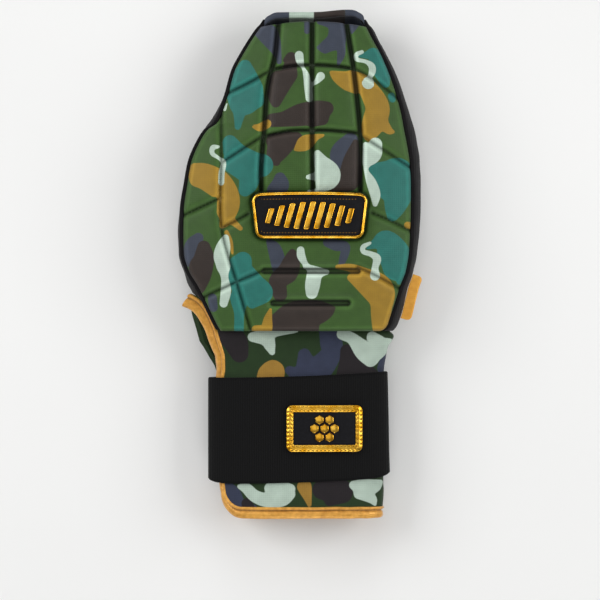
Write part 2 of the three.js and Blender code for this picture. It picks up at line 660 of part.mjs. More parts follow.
// One leaning bar of the badge. The bars grow towards the middle of the row.
function badgeBar(k) {
  const step = k - (badgeBars - 1) / 2;
  const shortening = 0.45 * Math.abs(step / ((badgeBars - 1) / 2)) ** 2;
  const up = (badgeBarHeight / 2) * (1 - shortening);
  const lean = badgeBarLean * up;
  const left = step * badgeBarPitch - badgeBarWidth / 2;
  const right = left + badgeBarWidth;
  const shape = polygon([[left - lean, -up], [right - lean, -up], [right + lean, up], [left + lean, up]]);
  return onFace(badge, shape, badgeTop + gap, badgeBarRaise);
}

// One stud of the patch: the first is in the middle and the others stand round it.
function patchStud(k) {
  const turn = (k * Math.PI) / 3;
  const reach = k === 0 ? 0 : patchStudPitch;
  const corner = (n) => (n * Math.PI) / 3 + Math.PI / 6;
  const points = [0, 1, 2, 3, 4, 5].map((n) => [
    reach * Math.cos(turn) + patchStudSize * Math.cos(corner(n)),
    reach * Math.sin(turn) + patchStudSize * Math.sin(corner(n)),
  ]);
  return onFace(patch, polygon(points), patchTop + gap, patchStudRaise);
}

// Folded ribbon held in the seam of the little-finger side, leaning down towards the wrist
function sideTag() {
  const away = new THREE.Vector3(0.95, -0.28, -0.12).normalize();
  const shares = [0, 0.07, 0.5, 0.93, 1];
  const halfShare = tagLength / shellLength / 2;
  const place = (share, reach, z) => {
    const along = tagAlong + halfShare * (2 * share - 1);
    const root = gussetPoint("finger", 1, along, tagLevel, gussetWall + gap);
    return root.addScaledVector(away, reach).add(new THREE.Vector3(0, 0, z));
  };
  const grid = (z) =>
    shares.map((share, k) => {
      const short = k === 0 || k === shares.length - 1 ? tagCorner : 0;
      return [0, 0.5, 1].map((reach) => place(share, reach * (tagReach - short), z));
    });
  return sheetSolid(grid(tagThick / 2), grid(-tagThick / 2));
}

// Materials
const print = { color: 0x4f6b38, roughness: 0.75, metalness: 0 };
const gold = { color: 0xd8a03c, roughness: 0.3, metalness: 1 };
const goldTape = { color: 0xd9a145, roughness: 0.55, metalness: 0 };
const black = { color: 0x1c1b1d, roughness: 0.8, metalness: 0 };
const rubber = { color: 0x19191d, roughness: 0.45, metalness: 0 };

const mitt = new THREE.Group();

function addPiece(name, geometry, finish) {
  const piece = new THREE.Mesh(geometry, new THREE.MeshStandardMaterial(finish));
  piece.name = name;
  mitt.add(piece);
}

addPiece("back_shell", backShell(), print);
addPiece("palm_shell", palmShell(), print);
addPiece("thumb_gusset", gusset("thumb", -1, thumbGussetStart), black);
addPiece("finger_gusset", gusset("finger", 1, 0), black);
addPiece("cuff", cuff(), print);
addPiece("edge_binding", edgeBinding(), goldTape);
addPiece("strap", strap(), black);
addPiece("badge_plate", plateSolid(badge, 0, gap - badgeSeat, badgeTop), rubber);
addPiece("badge_frame", plateFrame(badge, badgeTop, badgeFrameWidth, badgeFrameHeight), gold);
for (let k = 0; k < badgeBars; k++) addPiece("badge_bar_" + (k + 1), badgeBar(k), gold);
addPiece("patch_plate", plateSolid(patch, 0, gap, patchTop), rubber);
addPiece("patch_frame", plateFrame(patch, patchTop, patchFrameWidth, patchFrameHeight), gold);
for (let k = 0; k < 7; k++) addPiece("patch_stud_" + (k + 1), patchStud(k), gold);
addPiece("side_tag", sideTag(), goldTape);

// The origin is under the middle of the mitt, on the surface that it lies on.
const reach = new THREE.Box3().setFromObject(mitt);
const middle = reach.getCenter(new THREE.Vector3());
mitt.position.set(-middle.x, -middle.y, -reach.min.z);

export default mitt;
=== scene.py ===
import math

import bpy
import numpy as np
from bpy.props import FloatProperty, FloatVectorProperty, IntProperty, PointerProperty
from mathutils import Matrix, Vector


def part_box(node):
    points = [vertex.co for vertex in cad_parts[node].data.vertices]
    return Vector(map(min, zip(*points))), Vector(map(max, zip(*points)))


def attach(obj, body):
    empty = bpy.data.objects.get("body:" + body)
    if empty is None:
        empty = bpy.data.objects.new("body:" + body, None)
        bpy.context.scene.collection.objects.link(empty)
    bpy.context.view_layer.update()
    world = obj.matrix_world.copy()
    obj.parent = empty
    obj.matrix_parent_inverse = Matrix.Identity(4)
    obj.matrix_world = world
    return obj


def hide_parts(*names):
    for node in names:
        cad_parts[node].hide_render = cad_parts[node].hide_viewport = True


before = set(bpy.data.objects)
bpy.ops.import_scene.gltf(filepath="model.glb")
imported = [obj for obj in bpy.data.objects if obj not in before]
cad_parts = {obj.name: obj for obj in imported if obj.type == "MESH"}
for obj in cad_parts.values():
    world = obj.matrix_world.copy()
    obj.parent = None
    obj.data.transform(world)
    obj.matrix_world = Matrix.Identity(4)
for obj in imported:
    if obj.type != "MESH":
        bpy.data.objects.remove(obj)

bl_info = {
    "name": "Sliding Mitt",
    "version": (1, 0, 0),
    "blender": (4, 5, 0),
    "location": "View3D > Sidebar > Mitt",
    "description": "Dresses the pads, walls, cuff, strap and badges of a sliding mitt",
    "category": "Object",
}

MM = 0.001

# Sizes of the mitt in millimetres, as its solids have them
SHELL_LENGTH = 176.0
SHELL_HALF_WIDTH = 64.0
MITT_HEIGHT = 48.0
CROWN_LINE = 5.5
CROWN_POWER = 2.4
SIDE_DROP = 11.0
TIP_BOW = 2.8
TIP_CURL = 30.0
TIP_LIP = 3.5
TIP_CORNER = 6.3  # rounding of the fingertips' outline
TIP_LEAN = 1.5  # how far the middle finger's side reaches past the other
PALM_THICK = 7.0
PALM_SIDE_RISE = 4.0
PALM_LIP = 5.0  # length of the pad past its curl, towards the back pad
BACK_THICK = 8.0
BACK_RIM_THICK = 5.6
GAP = 0.3
GUSSET_WALL = 1.8
GUSSET_BULGE = 4.4
WALL_DROP = 2.8  # from the back pad's face at its edge to the top of a side wall
WALL_TUCK = 1.2  # how far the walls' inner faces reach in among the pads at the tip
SLIT_END = (0.1, 0.125)  # shares of the length over which the thumb's wall gets its full height
SLIT_STRIP = 2.6  # height of the strip of that wall along the slit
CUFF_LENGTH = 100.4
CUFF_HALF_WIDTH = 46.5
CUFF_CENTRE = 0.5
CUFF_TOP = 32.0
CUFF_WALL = 3.0
CUFF_SQUARENESS = 2.5
CUFF_CORNER = 11.0
CUFF_MIDDLE = 15.0  # height between its back and its palm side
STRAP_WIDTH = 60.0
STRAP_THICK = 1.6
STRAP_FROM_PADS = 26.4
STRAP_THUMB_REACH = 52.7
STRAP_RISE = 3.3
STRAP_START = 262.0  # degrees round the wrist, from the finger side over the back of the hand
STRAP_TURN = 410.0  # degrees that it is wound
STRAP_LAP = (300, 345)  # degrees of that over which the end climbs onto the first turn

# The pads' wrist end and the line midway between their sides, in the frame of the solids
WRIST_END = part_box("back_shell")[0].y / MM
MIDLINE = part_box("back_shell")[0].x / MM + 1.034 * SHELL_HALF_WIDTH

# Outline of the pads from wrist to tip: along is a share of the length, thumb and finger of the
# half width, swells of the bulge of the side walls, bow of the tip's bow.
OUTLINE_COLUMNS = ("along", "thumb", "finger", "thumb_swell", "finger_swell", "bow")
OUTLINE = np.array([
    (0.0, -0.705, 0.70, 0.70, 1.25, 0),
    (0.006, -0.715, 0.735, 0.70, 1.0, 0),
    (0.018, -0.735, 0.762, 0.70, 0.9, 0),
    (0.045, -0.772, 0.787, 0.70, 0.95, 0),
    (0.104, -0.85, 0.841, 0.75, 0.77, 0),
    (0.148, -0.913, 0.88, 0.80, 0.66, 0),
    (0.192, -0.985, 0.925, 0.25, 0.62, 0),
    (0.25, -1.03, 0.952, 0.33, 0.68, 0),
    (0.31, -1.034, 0.963, 0.32, 0.8, 0),
    (0.39, -1.03, 0.97, 0.18, 0.9, 0),
    (0.468, -1.0, 0.97, 0.1, 0.95, 0),
    (0.54, -0.965, 0.96, 0.08, 0.97, 0),
    (0.606, -0.89, 0.932, 0.04, 0.98, 0),
    (0.645, -0.82, 0.91, 0.2, 0.97, 0),
    (0.666, -0.74, 0.90, 0.8, 0.92, 0),
    (0.69, -0.703, 0.888, 0.62, 0.8, 0),
    (0.757, -0.642, 0.842, 0.08, 0.64, 0),
    (0.837, -0.58, 0.765, 0, 0.52, 0),
    (0.89, -0.505, 0.701, 0, 0.42, 0),
    (0.949, -0.406, 0.615, 0, 0.46, 0.3),
    (0.968, -0.37, 0.59, 0.05, 0.42, 0.7),
    (0.979, -0.345, 0.572, 0.08, 0.36, 0.93),
    (0.984, -0.33, 0.56, 0.06, 0.3, 1),
    (1.0, -0.3, 0.54, 0, 0.15, 1),
])
BACK_PAD_END = 0.984
BACK_PAD_TIP = 0.977  # the covered pad ends a little before its solid

# Crown of the back pad: height is a share of MITT_HEIGHT, drop of SIDE_DROP.
CROWN_COLUMNS = ("along", "height", "drop")
CROWN = np.array([
    (-0.1, 0.855, 0.55),
    (0.0, 0.87, 0.57),
    (0.15, 0.94, 0.8),
    (0.36, 1.0, 1.0),
    (0.6, 0.995, 1.0),
    (0.8, 0.93, 0.85),
    (0.92, 0.85, 0.7),
    (1.0, 0.78, 0.6),
])

# Channels of the back pad, as shares of the half width and of the length
MAIN_CHANNELS = (
    (
        (-0.19, 1.01), (-0.225, 0.88), (-0.27, 0.815), (-0.3, 0.745), (-0.318, 0.65), (-0.345, 0.53),
        (-0.345, 0.44),
    ),
    ((0.1, 1.01), (0.098, 0.72), (0.105, 0.45)),
    ((0.39, 1.01), (0.43, 0.917), (0.46, 0.846), (0.485, 0.77), (0.51, 0.68), (0.523, 0.6), (0.52, 0.44)),
)
CROSS_CHANNELS = (
    ((-0.26, 0.834), (-0.09, 0.845), (0.1, 0.849), (0.285, 0.846), (0.46, 0.838)),
    ((-0.33, 0.62), (-0.1, 0.637), (0.1, 0.639), (0.285, 0.638), (0.52, 0.63)),
)
SIDE_CHANNELS = (
    (
        (-0.7, 0.7), (-0.695, 0.56), (-0.705, 0.4), (-0.685, 0.31), (-0.62, 0.224), (-0.555, 0.148),
        (-0.43, -0.01),
    ),
    ((-0.68, 0.755), (-0.47, 0.79), (-0.27, 0.83)),
    ((0.46, 0.84), (0.65, 0.8), (0.86, 0.743)),
    ((-0.69, 0.538), (-0.5, 0.582), (-0.33, 0.622)),
    ((0.52, 0.625), (0.74, 0.575), (0.98, 0.52)),
    ((-1.05, 0.367), (-0.88, 0.395), (-0.7, 0.425)),
    ((-0.69, 0.33), (-0.57, 0.351), (-0.46, 0.373)),
    ((0.62, 0.377), (0.79, 0.352), (0.98, 0.318)),
    ((-0.9, 0.1), (-0.62, 0.148), (-0.35, 0.19)),
    ((0.5, 0.204), (0.69, 0.172), (0.9, 0.13)),
)
SLOT_RADIUS = 1.75
SLOTS = (((-0.318, 0.192), (0.5, 0.192)), ((-0.24, 0.09), (0.41, 0.09)))

# Painted highlight on a lip beside each channel and along the pad's border, where the rims catch the light
LIP_FROM_CHANNEL = 1.3
LIP_FROM_BORDER = 2.0
LIP_HALF = 0.9

# Sections of the cuff, from under the pads to the hem. along is a share of CUFF_LENGTH; back, palm
# and finger of CUFF_HALF_WIDTH; turn and palm_turn are degrees; top is a share of CUFF_TOP,
# bottom of PALM_THICK.
SECTION_COLUMNS = ("along", "back", "palm", "finger", "turn", "palm_turn", "top", "bottom")
SECTIONS = np.array([
    (-0.2, 1.38, 1.34, 1.06, 120, -150, 0.955, 1.12),
    (-0.183, 1.3, 1.365, 1.06, 121, -150, 0.955, 1.12),
    (-0.15, 1.215, 1.36, 1.06, 122, -150, 0.955, 1.12),
    (-0.11, 1.155, 1.352, 1.06, 123, -150, 0.955, 1.12),
    (-0.014, 1.062, 1.295, 1.055, 127, -150, 0.955, 1.12),
    (0.03, 1.037, 1.27, 1.128, 130, -150, 0.97, 0.95),
    (0.06, 1.018, 1.252, 1.098, 132, -150, 0.985, 0.75),
    (0.09, 0.997, 1.21, 1.058, 134, -150, 0.995, 0.62),
    (0.15, 0.963, 1.135, 1.03, 140, -153, 0.98, 0.56),
    (0.21, 0.963, 1.06, 1.01, 146, -159, 0.972, 0.543),
    (0.27, 0.975, 1.03, 1.0, 152, -165, 0.97, 0.543),
    (0.56, 0.985, 1.0, 1.0, 156, -165, 0.97, 0.543),
    (0.86, 0.975, 0.985, 1.0, 156, -165, 0.97, 0.543),
    (0.9, 0.965, 0.98, 1.005, 156, -165, 0.99, 0.543),
    (0.95, 0.955, 0.97, 1.0, 155, -165, 0.995, 0.543),
    (1.0, 0.945, 0.96, 0.99, 154, -165, 0.99, 0.543),
])
STRAP_SECTION = 11

# The print is drawn on charts. Each has millimetres a unit, and the place of its upper left corner
# from the midline and the wrist end; its units run right and down.
CHARTS = {
    "upper": (0.0793, -56.9, 187.0),
    "middle": (0.1045, -79.5, 119.2),
    "lower": (0.1045, -79.5, 45.7),
    "wrist": (0.1045, -79.5, 45.7),
    "hem": (0.0829, -62.6, -5.1),
    "tip": (1.0, 0.0, 206.0),
}

# Each row is one lobe of a colour: a smooth chain of (right, down, radius) in its chart's units.
# A later colour lies over the earlier ones, and all lie over green.
PRINT_ORDER = ("slate", "brown", "ochre", "teal", "pale")
PRINT = {
    "slate": {
        "upper": (
            ((455, 205, 28), (500, 225, 45), (535, 290, 38), (555, 370, 25), (565, 450, 18)),
            ((424, 232, 38), (470, 283, 40), (520, 345, 34), (538, 385, 20)),
            ((762, 130, 20), (762, 232, 20)),
            ((850, 165, 18), (940, 175, 45), (975, 230, 60), (960, 300, 62), (890, 345, 42)),
            ((1000, 160, 30), (1005, 330, 30), (1003, 400, 28), (985, 465, 12)),
            ((845, 350, 14), (890, 360, 30)),
            ((1095, 180, 36), (1080, 240, 8)),
        ),
        "middle": (
            ((1028, 118, 42), (972, 185, 52), (955, 250, 28)),
            ((650, 320, 30), (650, 360, 48), (620, 385, 40)),
            ((210, 640, 28), (180, 690, 48), (165, 760, 36)),
            ((590, 660, 15), (620, 700, 36), (640, 770, 40), (640, 800, 34)),
            ((905, 665, 25), (950, 680, 30), (1000, 690, 26), (985, 760, 20), (970, 790, 8)),
        ),
        "lower": (((285, 260, 25), (290, 310, 24)),),
        "wrist": (
            ((780, 565, 34), (800, 640, 60), (860, 640, 70), (925, 560, 55), (925, 500, 60), (900, 440, 40)),
            ((700, 650, 24), (740, 670, 34), (820, 690, 50)),
            ((1215, 580, 20), (1205, 640, 30)),
            ((800, 800, 150), (700, 950, 90)),
        ),
        "hem": (((250, 1000, 40), (290, 1060, 60), (330, 1120, 50), (430, 1150, 30)),),
        "tip": (((-14, -4, 7.5), (-14, 36, 7.5)), ((31.5, -4, 6.5), (31.5, 30, 6.5))),
    },
    "brown": {
        "upper": (
            ((612, 440, 20), (650, 420, 38), (640, 500, 50)),
            ((635, 545, 60), (575, 620, 70), (545, 700, 55), (542, 742, 36)),
            ((556, 570, 58), (532, 670, 50)),
            ((512, 868, 48), (600, 860, 55), (720, 830, 80), (830, 810, 82), (900, 785, 50)),
            ((870, 860, 45), (800, 880, 35)),
        ),
        "middle": (
            ((614, 120, 40), (735, 108, 36)),
            ((692, 124, 50), (642, 165, 60), (622, 213, 38), (634, 240, 16)),
            ((1055, 130, 18), (1035, 230, 48), (1025, 320, 62), (985, 365, 28), (920, 388, 6)),
            ((240, 690, 36), (240, 750, 55), (220, 830, 62), (210, 900, 40)),
            ((715, 715, 16), (705, 780, 46), (690, 830, 52)),
        ),
        "lower": (
            ((210, 90, 50), (205, 140, 40), (220, 200, 18)),
            ((720, 40, 32), (700, 110, 50), (640, 170, 50), (650, 240, 38)),
            ((640, 380, 45), (720, 350, 70), (820, 340, 72), (890, 330, 46), (940, 312, 8)),
            ((660, 410, 58), (800, 420, 60)),
        ),
        "wrist": (
            ((375, 460, 62), (410, 500, 65), (430, 560, 48)),
            ((1010, 545, 36), (1030, 600, 60), (1010, 690, 60)),
            ((1080, 640, 56), (1150, 690, 44)),
            ((400, 900, 80), (560, 880, 60)),
        ),
        "hem": (
            ((388, 1116, 38), (400, 1150, 44)),
            ((900, 1020, 66), (990, 1020, 96), (1040, 1050, 62), (950, 1095, 36)),
        ),
        "tip": (((16, -4, 9), (16, 34, 9)),),
    },
    "ochre": {
        "upper": (
            ((935, 530, 14), (980, 560, 42), (1050, 590, 66), (1100, 620, 56)),
            (
                (1080, 560, 50), (1160, 600, 60), (1230, 700, 78), (1262, 790, 86), (1230, 890, 80),
                (1205, 960, 52), (1215, 1012, 12),
            ),
            ((1290, 880, 45), (1340, 935, 28), (1372, 946, 12)),
            ((388, 912, 14), (430, 918, 28), (478, 893, 32)),
        ),
        "middle": (
            ((880, 92, 8), (842, 102, 18), (788, 130, 40), (760, 150, 28), (732, 168, 8)),
            (
                (190, 262, 26), (250, 288, 48), (330, 330, 50), (380, 400, 46), (388, 470, 44),
                (360, 540, 33), (338, 575, 14),
            ),
            ((180, 300, 26), (186, 340, 18), (240, 340, 40), (300, 380, 40)),
            ((350, 500, 40), (352, 420, 40)),
            ((400, 556, 18), (438, 590, 12)),
            ((362, 610, 12), (384, 660, 12), (394, 722, 7)),
            ((1335, 570, 18), (1350, 572, 18)),
        ),
        "lower": (
            (
                (958, 92, 12), (1030, 98, 22), (1100, 130, 34), (1180, 185, 58), (1208, 235, 60),
                (1195, 310, 58), (1190, 400, 46), (1185, 450, 30),
            ),
            ((1030, 150, 20), (1110, 215, 34), (1170, 270, 40)),
            ((598, 322, 8), (585, 370, 22), (572, 430, 32), (520, 430, 24)),
        ),
        "wrist": (((553, 690, 30), (610, 650, 56), (640, 690, 32)), ((575, 668, 44), (600, 690, 40))),
        "hem": (((780, 1000, 50), (800, 1065, 30), (816, 1130, 12)), ((200, 700, 60), (300, 620, 80))),
        "tip": (),
    },
    "teal": {
        "upper": (
            (
                (320, 480, 48), (320, 560, 88), (330, 650, 115), (340, 730, 88), (290, 790, 52),
                (278, 860, 32), (272, 912, 22),
            ),
            ((240, 700, 45), (262, 760, 48)),
            ((395, 640, 52), (412, 730, 46)),
            (
                (1132, 405, 12), (1190, 400, 28), (1240, 395, 48), (1262, 470, 55), (1300, 540, 52),
                (1320, 600, 30),
            ),
            ((1362, 690, 26), (1368, 712, 24)),
        ),
        "middle": (
            ((380, 128, 40), (420, 200, 66), (500, 242, 66), (558, 248, 54), (560, 272, 40)),
            ((400, 240, 56), (480, 300, 56), (480, 350, 50), (462, 384, 34)),
            (
                (1152, 268, 28), (1230, 290, 65), (1290, 290, 78), (1290, 380, 80), (1270, 460, 60),
                (1255, 518, 32),
            ),
            ((1160, 300, 20), (1220, 390, 45)),
            ((1120, 692, 10), (1170, 668, 30), (1222, 655, 55), (1290, 720, 60), (1280, 790, 80)),
        ),
        "lower": (
            ((1250, 20, 80), (1262, 70, 62), (1240, 105, 30)),
            ((1305, 110, 26), (1290, 175, 12)),
            ((450, 60, 48), (430, 120, 76), (490, 200, 82), (560, 235, 50), (500, 292, 24)),
            ((430, 260, 50), (430, 340, 28), (428, 440, 26)),
        ),
        "wrist": (((300, 1000, 90), (380, 1080, 60)),),
        "hem": (),
        "tip": (),
    },
    "pale": {
        "upper": (
            ((706, 405, 30), (712, 445, 27), (733, 492, 11), (757, 550, 22), (770, 630, 28), (778, 712, 26)),
            ((795, 615, 8), (830, 592, 18), (858, 556, 30)),
            (
                (1152, 378, 13), (1113, 398, 16), (1116, 432, 15), (1180, 448, 14), (1220, 478, 24),
                (1224, 520, 24), (1206, 560, 18), (1195, 600, 44),
            ),
            ((192, 745, 5), (178, 785, 11)),
        ),
        "middle": (
            (
                (1162, 138, 36), (1148, 190, 46), (1118, 240, 22), (1112, 280, 12), (1138, 340, 26),
                (1160, 405, 28), (1160, 458, 14),
            ),
            ((1108, 140, 14), (1108, 230, 16)),
            ((850, 188, 18), (872, 238, 40), (908, 302, 66), (886, 345, 46), (850, 382, 12), (800, 390, 5)),
            ((800, 315, 12), (840, 310, 22)),
            (
                (318, 150, 8), (288, 154, 14), (286, 186, 12), (322, 212, 9), (346, 236, 14), (336, 290, 16),
                (334, 342, 16),
            ),
            ((358, 640, 18), (345, 690, 38), (335, 740, 42), (345, 790, 34)),
            ((760, 706, 20), (764, 740, 22), (788, 785, 13)),
            (
                (1132, 668, 8), (1096, 688, 13), (1097, 714, 13), (1140, 728, 15), (1170, 752, 22),
                (1160, 800, 18), (1160, 842, 27),
            ),
        ),
        "lower": (
            ((345, 90, 34), (352, 150, 20), (358, 220, 28), (346, 288, 22)),
            ((790, 90, 14), (850, 118, 26), (900, 120, 14)),
            ((832, 140, 40), (824, 190, 40), (820, 232, 32)),
        ),
        "wrist": (
            ((500, 470, 26), (560, 468, 38), (622, 452, 18), (740, 438, 8)),
            ((588, 500, 36), (606, 552, 16)),
            ((985, 455, 30), (1040, 480, 32), (1100, 545, 50), (1138, 592, 40)),
            ((1148, 470, 30), (1195, 520, 44), (1150, 570, 44)),
            ((1235, 500, 24), (1262, 496, 10)),
            ((700, 1000, 70), (900, 940, 50)),
        ),
        "hem": (
            (
                (335, 1000, 14), (385, 1012, 36), (440, 1062, 42), (520, 1090, 48), (620, 1075, 60),
                (680, 1050, 38),
            ),
            ((545, 1010, 38), (630, 1015, 50), (690, 1010, 28)),
            ((1115, 990, 30), (1180, 1005, 56), (1255, 1000, 46), (1300, 975, 18)),
            ((1150, 1050, 34), (1235, 1080, 34), (1262, 1122, 12)),
        ),
        "tip": (((0.5, -4, 7), (0.3, 28, 6.8)),),
    },
}
PRINT_BLEND = 1.6  # how softly the lobes of one colour run into each other
PAD_CHARTS = ("upper", "middle", "lower")
CUFF_CHARTS = ("wrist", "hem")


# Curves and tables


def column(table, names, name, along):
    """One column of a table at places between its rows, on a smooth curve that doesn't overshoot."""
    x = table[:, 0]
    y = table[:, names.index(name)].astype(float)
    slope = np.diff(y) / np.diff(x)
    before, after = slope[:-1], slope[1:]
    inner = np.where(before * after > 0, 2 * before * after / (before + after + 1e-12), 0)
    tangent = np.concatenate(([slope[0]], inner, [slope[-1]]))
    at = np.clip(np.asarray(along, float), x[0], x[-1])
    k = np.clip(np.searchsorted(x, at, side="right") - 1, 0, len(x) - 2)
    span = x[k + 1] - x[k]
    t = (at - x[k]) / span
    return (
        y[k] * (1 + 2 * t) * (1 - t) ** 2 + tangent[k] * span * t * (1 - t) ** 2
        + y[k + 1] * t**2 * (3 - 2 * t) + tangent[k + 1] * span * t**2 * (t - 1)
    )


def outline(name, along):
    return column(OUTLINE, OUTLINE_COLUMNS, name, along)


def smooth(value, low, high):
    """0 below low, 1 above high, and an even rise between them."""
    t = np.clip((np.asarray(value, float) - low) / (high - low), 0, 1)
    return t * t * (3 - 2 * t)


def bell(distance, half):
    """1 at no distance, and less and less on both sides of it."""
    return np.exp(-((distance / half) ** 2))


def lerp(a, b, t):
    return a + (b - a) * t


def spline(points, steps=12):
    """Points along a smooth curve through the given ones."""
    p = np.array(points, float)
    p = np.vstack((2 * p[0] - p[1], p, 2 * p[-1] - p[-2]))
    t = np.linspace(0, 1, steps, endpoint=False)[:, None]
    runs = []
    for a, b, c, d in zip(p[:-3], p[1:-2], p[2:-1], p[3:]):
        square, cube = 2 * a - 5 * b + 4 * c - d, 3 * b - a - 3 * c + d
        runs.append(0.5 * (2 * b + (c - a) * t + square * t**2 + cube * t**3))
    return np.vstack(runs + [p[-2:-1]])


def chain_distance(x, y, chain):
    """Distance to a chain of discs joined by tapering strips, negative inside it."""
    near = np.full(x.shape, 1e3)
    for (ax, ay, ar), (bx, by, br) in zip(chain[:-1], chain[1:]):
        dx, dy = bx - ax, by - ay
        t = np.clip(((x - ax) * dx + (y - ay) * dy) / (dx * dx + dy * dy + 1e-9), 0, 1)
        near = np.minimum(near, np.hypot(x - ax - t * dx, y - ay - t * dy) - lerp(ar, br, t))
    return near


def soft_min(a, b, radius):
    """The smaller of two distances, rounded within a radius where they meet."""
    h = np.clip(0.5 + 0.5 * (b - a) / radius, 0, 1)
    return lerp(b, a, h) - radius * h * (1 - h)


def route_distance(x, y, route, steps=8):
    """Distance to a channel's centre line."""
    points = spline(route, steps) if len(route) > 2 else np.array(route, float)
    points = points * (SHELL_HALF_WIDTH, SHELL_LENGTH)
    return chain_distance(x, y, [(px, py, 0.0) for px, py in points])


# Surfaces of the mitt, in millimetres from the midline and the pads' wrist end


def edge_x(side, along):
    return SHELL_HALF_WIDTH * outline(side, along)


def crown_share(x, along):
    """How far a place is from the crown line to the edge, 0 to 1."""
    thumb_reach, finger_reach = CROWN_LINE - edge_x("thumb", along), edge_x("finger", along) - CROWN_LINE
    reach = np.where(x < CROWN_LINE, thumb_reach, finger_reach)
    return np.clip(np.abs(x - CROWN_LINE) / reach, 0, 1)


def back_face(x, y):
    along = np.asarray(y, float) / SHELL_LENGTH
    fall = SIDE_DROP * column(CROWN, CROWN_COLUMNS, "drop", along) * crown_share(x, along) ** CROWN_POWER
    return MITT_HEIGHT * column(CROWN, CROWN_COLUMNS, "height", along) - fall


def rounded_fall(distance, radius):
    """How far a rounded edge has fallen at a distance in from its end."""
    left = np.clip(radius - distance, 0, radius)
    return radius - np.sqrt(radius**2 - left**2)


def palm_face(y):
    """Height of the palm pad's outer face."""
    flat = SHELL_LENGTH + TIP_LIP + GAP - TIP_CURL
    share = np.clip((np.asarray(y, float) - flat) / TIP_CURL, 0, 1)
    return TIP_CURL * (1 - np.sqrt(1 - share**2))


def oval(turn, back, palm, finger, middle, half):
    """Points of an oval section, from its half widths in each quarter."""
    angle = np.radians(turn)
    power = 2 / CUFF_SQUARENESS
    c, s = np.cos(angle), np.sin(angle)
    width = np.where(c > 0, finger, np.where(s > 0, back, palm))
    x = CUFF_CENTRE + np.sign(c) * width * np.abs(c) ** power
    return x, middle + np.sign(s) * half * np.abs(s) ** power


def section(name, along):
    return column(SECTIONS, SECTION_COLUMNS, name, along)


def cuff_point(around, along, depth=0.0):
    """A point of the cuff: around from its free back edge to its palm edge, depth in from its face."""
    power = 2 / CUFF_SQUARENESS
    turn, palm_turn = section("turn", along), section("palm_turn", along)
    back = CUFF_HALF_WIDTH * section("back", along) / np.abs(np.cos(np.radians(turn))) ** power
    palm = CUFF_HALF_WIDTH * section("palm", along) / np.abs(np.cos(np.radians(palm_turn))) ** power
    finger = CUFF_HALF_WIDTH * section("finger", along)
    top, bottom = CUFF_TOP * section("top", along), PALM_THICK * section("bottom", along)
    x, z = oval(
        lerp(turn, palm_turn, around), back - depth, palm - depth, finger - depth,
        (top + bottom) / 2, (top - bottom) / 2 - depth,
    )
    return x, -along * CUFF_LENGTH, z


def strap_point(turn, spare):
    top = CUFF_TOP * SECTIONS[STRAP_SECTION, SECTION_COLUMNS.index("top")]
    bottom = PALM_THICK * SECTIONS[STRAP_SECTION, SECTION_COLUMNS.index("bottom")]
    thumb = STRAP_THUMB_REACH - STRAP_THICK - GAP + spare
    return oval(turn, thumb, thumb, CUFF_HALF_WIDTH + spare, (top + bottom) / 2, (top - bottom) / 2 + spare)


def strap_y(x, across):
    share = (x - CUFF_CENTRE + STRAP_THUMB_REACH) / (STRAP_THUMB_REACH + CUFF_HALF_WIDTH)
    return STRAP_RISE * share**2 - STRAP_FROM_PADS - across * STRAP_WIDTH


def strap_face(x, y=0.0):
    """Height of the strap's outer face over the back of the wrist."""
    top = CUFF_TOP * SECTIONS[STRAP_SECTION, SECTION_COLUMNS.index("top")]
    bottom = PALM_THICK * SECTIONS[STRAP_SECTION, SECTION_COLUMNS.index("bottom")]
    spare = GAP + STRAP_THICK
    reach = np.where(x < CUFF_CENTRE, STRAP_THUMB_REACH, CUFF_HALF_WIDTH + spare)
    share = np.clip(np.abs(x - CUFF_CENTRE) / reach, 0, 1)
    half = (top - bottom) / 2 + spare
    return (top + bottom) / 2 + half * (1 - share**CUFF_SQUARENESS) ** (1 / CUFF_SQUARENESS)


def waves(u, v, seed):
    """A gentle, fixed unevenness from a few waves, between about -1 and 1."""
    total = np.zeros(np.broadcast(u, v).shape)
    for k in range(5):
        turn = 2.399 * (k + seed)
        run = u * math.cos(turn) + v * math.sin(turn)
        total = total + np.sin((1 + 0.61 * k) * run + 1.7 * k * seed) / (1 + 0.4 * k)
    return total / 2.6


# Meshes


def read_points(mesh):
    points = np.empty(len(mesh.vertices) * 3)
    mesh.vertices.foreach_get("co", points)
    return points.reshape(-1, 3)


def write_points(mesh, points):
    mesh.vertices.foreach_set("co", np.ascontiguousarray(points, np.float32).ravel())
    mesh.update()


def store(mesh, name, values):
    layer = mesh.attributes.get(name) or mesh.attributes.new(name, "FLOAT", "POINT")
    layer.data.foreach_set("value", np.ascontiguousarray(values, np.float32))


def stored(mesh, name):
    values = np.empty(len(mesh.vertices), np.float32)
    mesh.attributes[name].data.foreach_get("value", values)
    return values.astype(float)


def to_frame(x, y, z):
    """Places in millimetres from the midline and the pads' wrist end, in the frame of the solids."""
    x, y, z = np.broadcast_arrays(x, y, z)
    return np.stack((x + MIDLINE, y + WRIST_END, z), axis=-1) * MM


def from_frame(mesh):
    """A mesh's vertices in millimetres from the midline and the pads' wrist end."""
    x, y, z = (read_points(mesh) / MM).T
    return x - MIDLINE, y - WRIST_END, z


def only(piece):
    """Makes a piece the only one selected."""
    if bpy.context.object and bpy.context.object.mode != "OBJECT":
        bpy.ops.object.mode_set(mode="OBJECT")
    bpy.ops.object.select_all(action="DESELECT")
    if piece:
        piece.select_set(True)
        bpy.context.view_layer.objects.active = piece


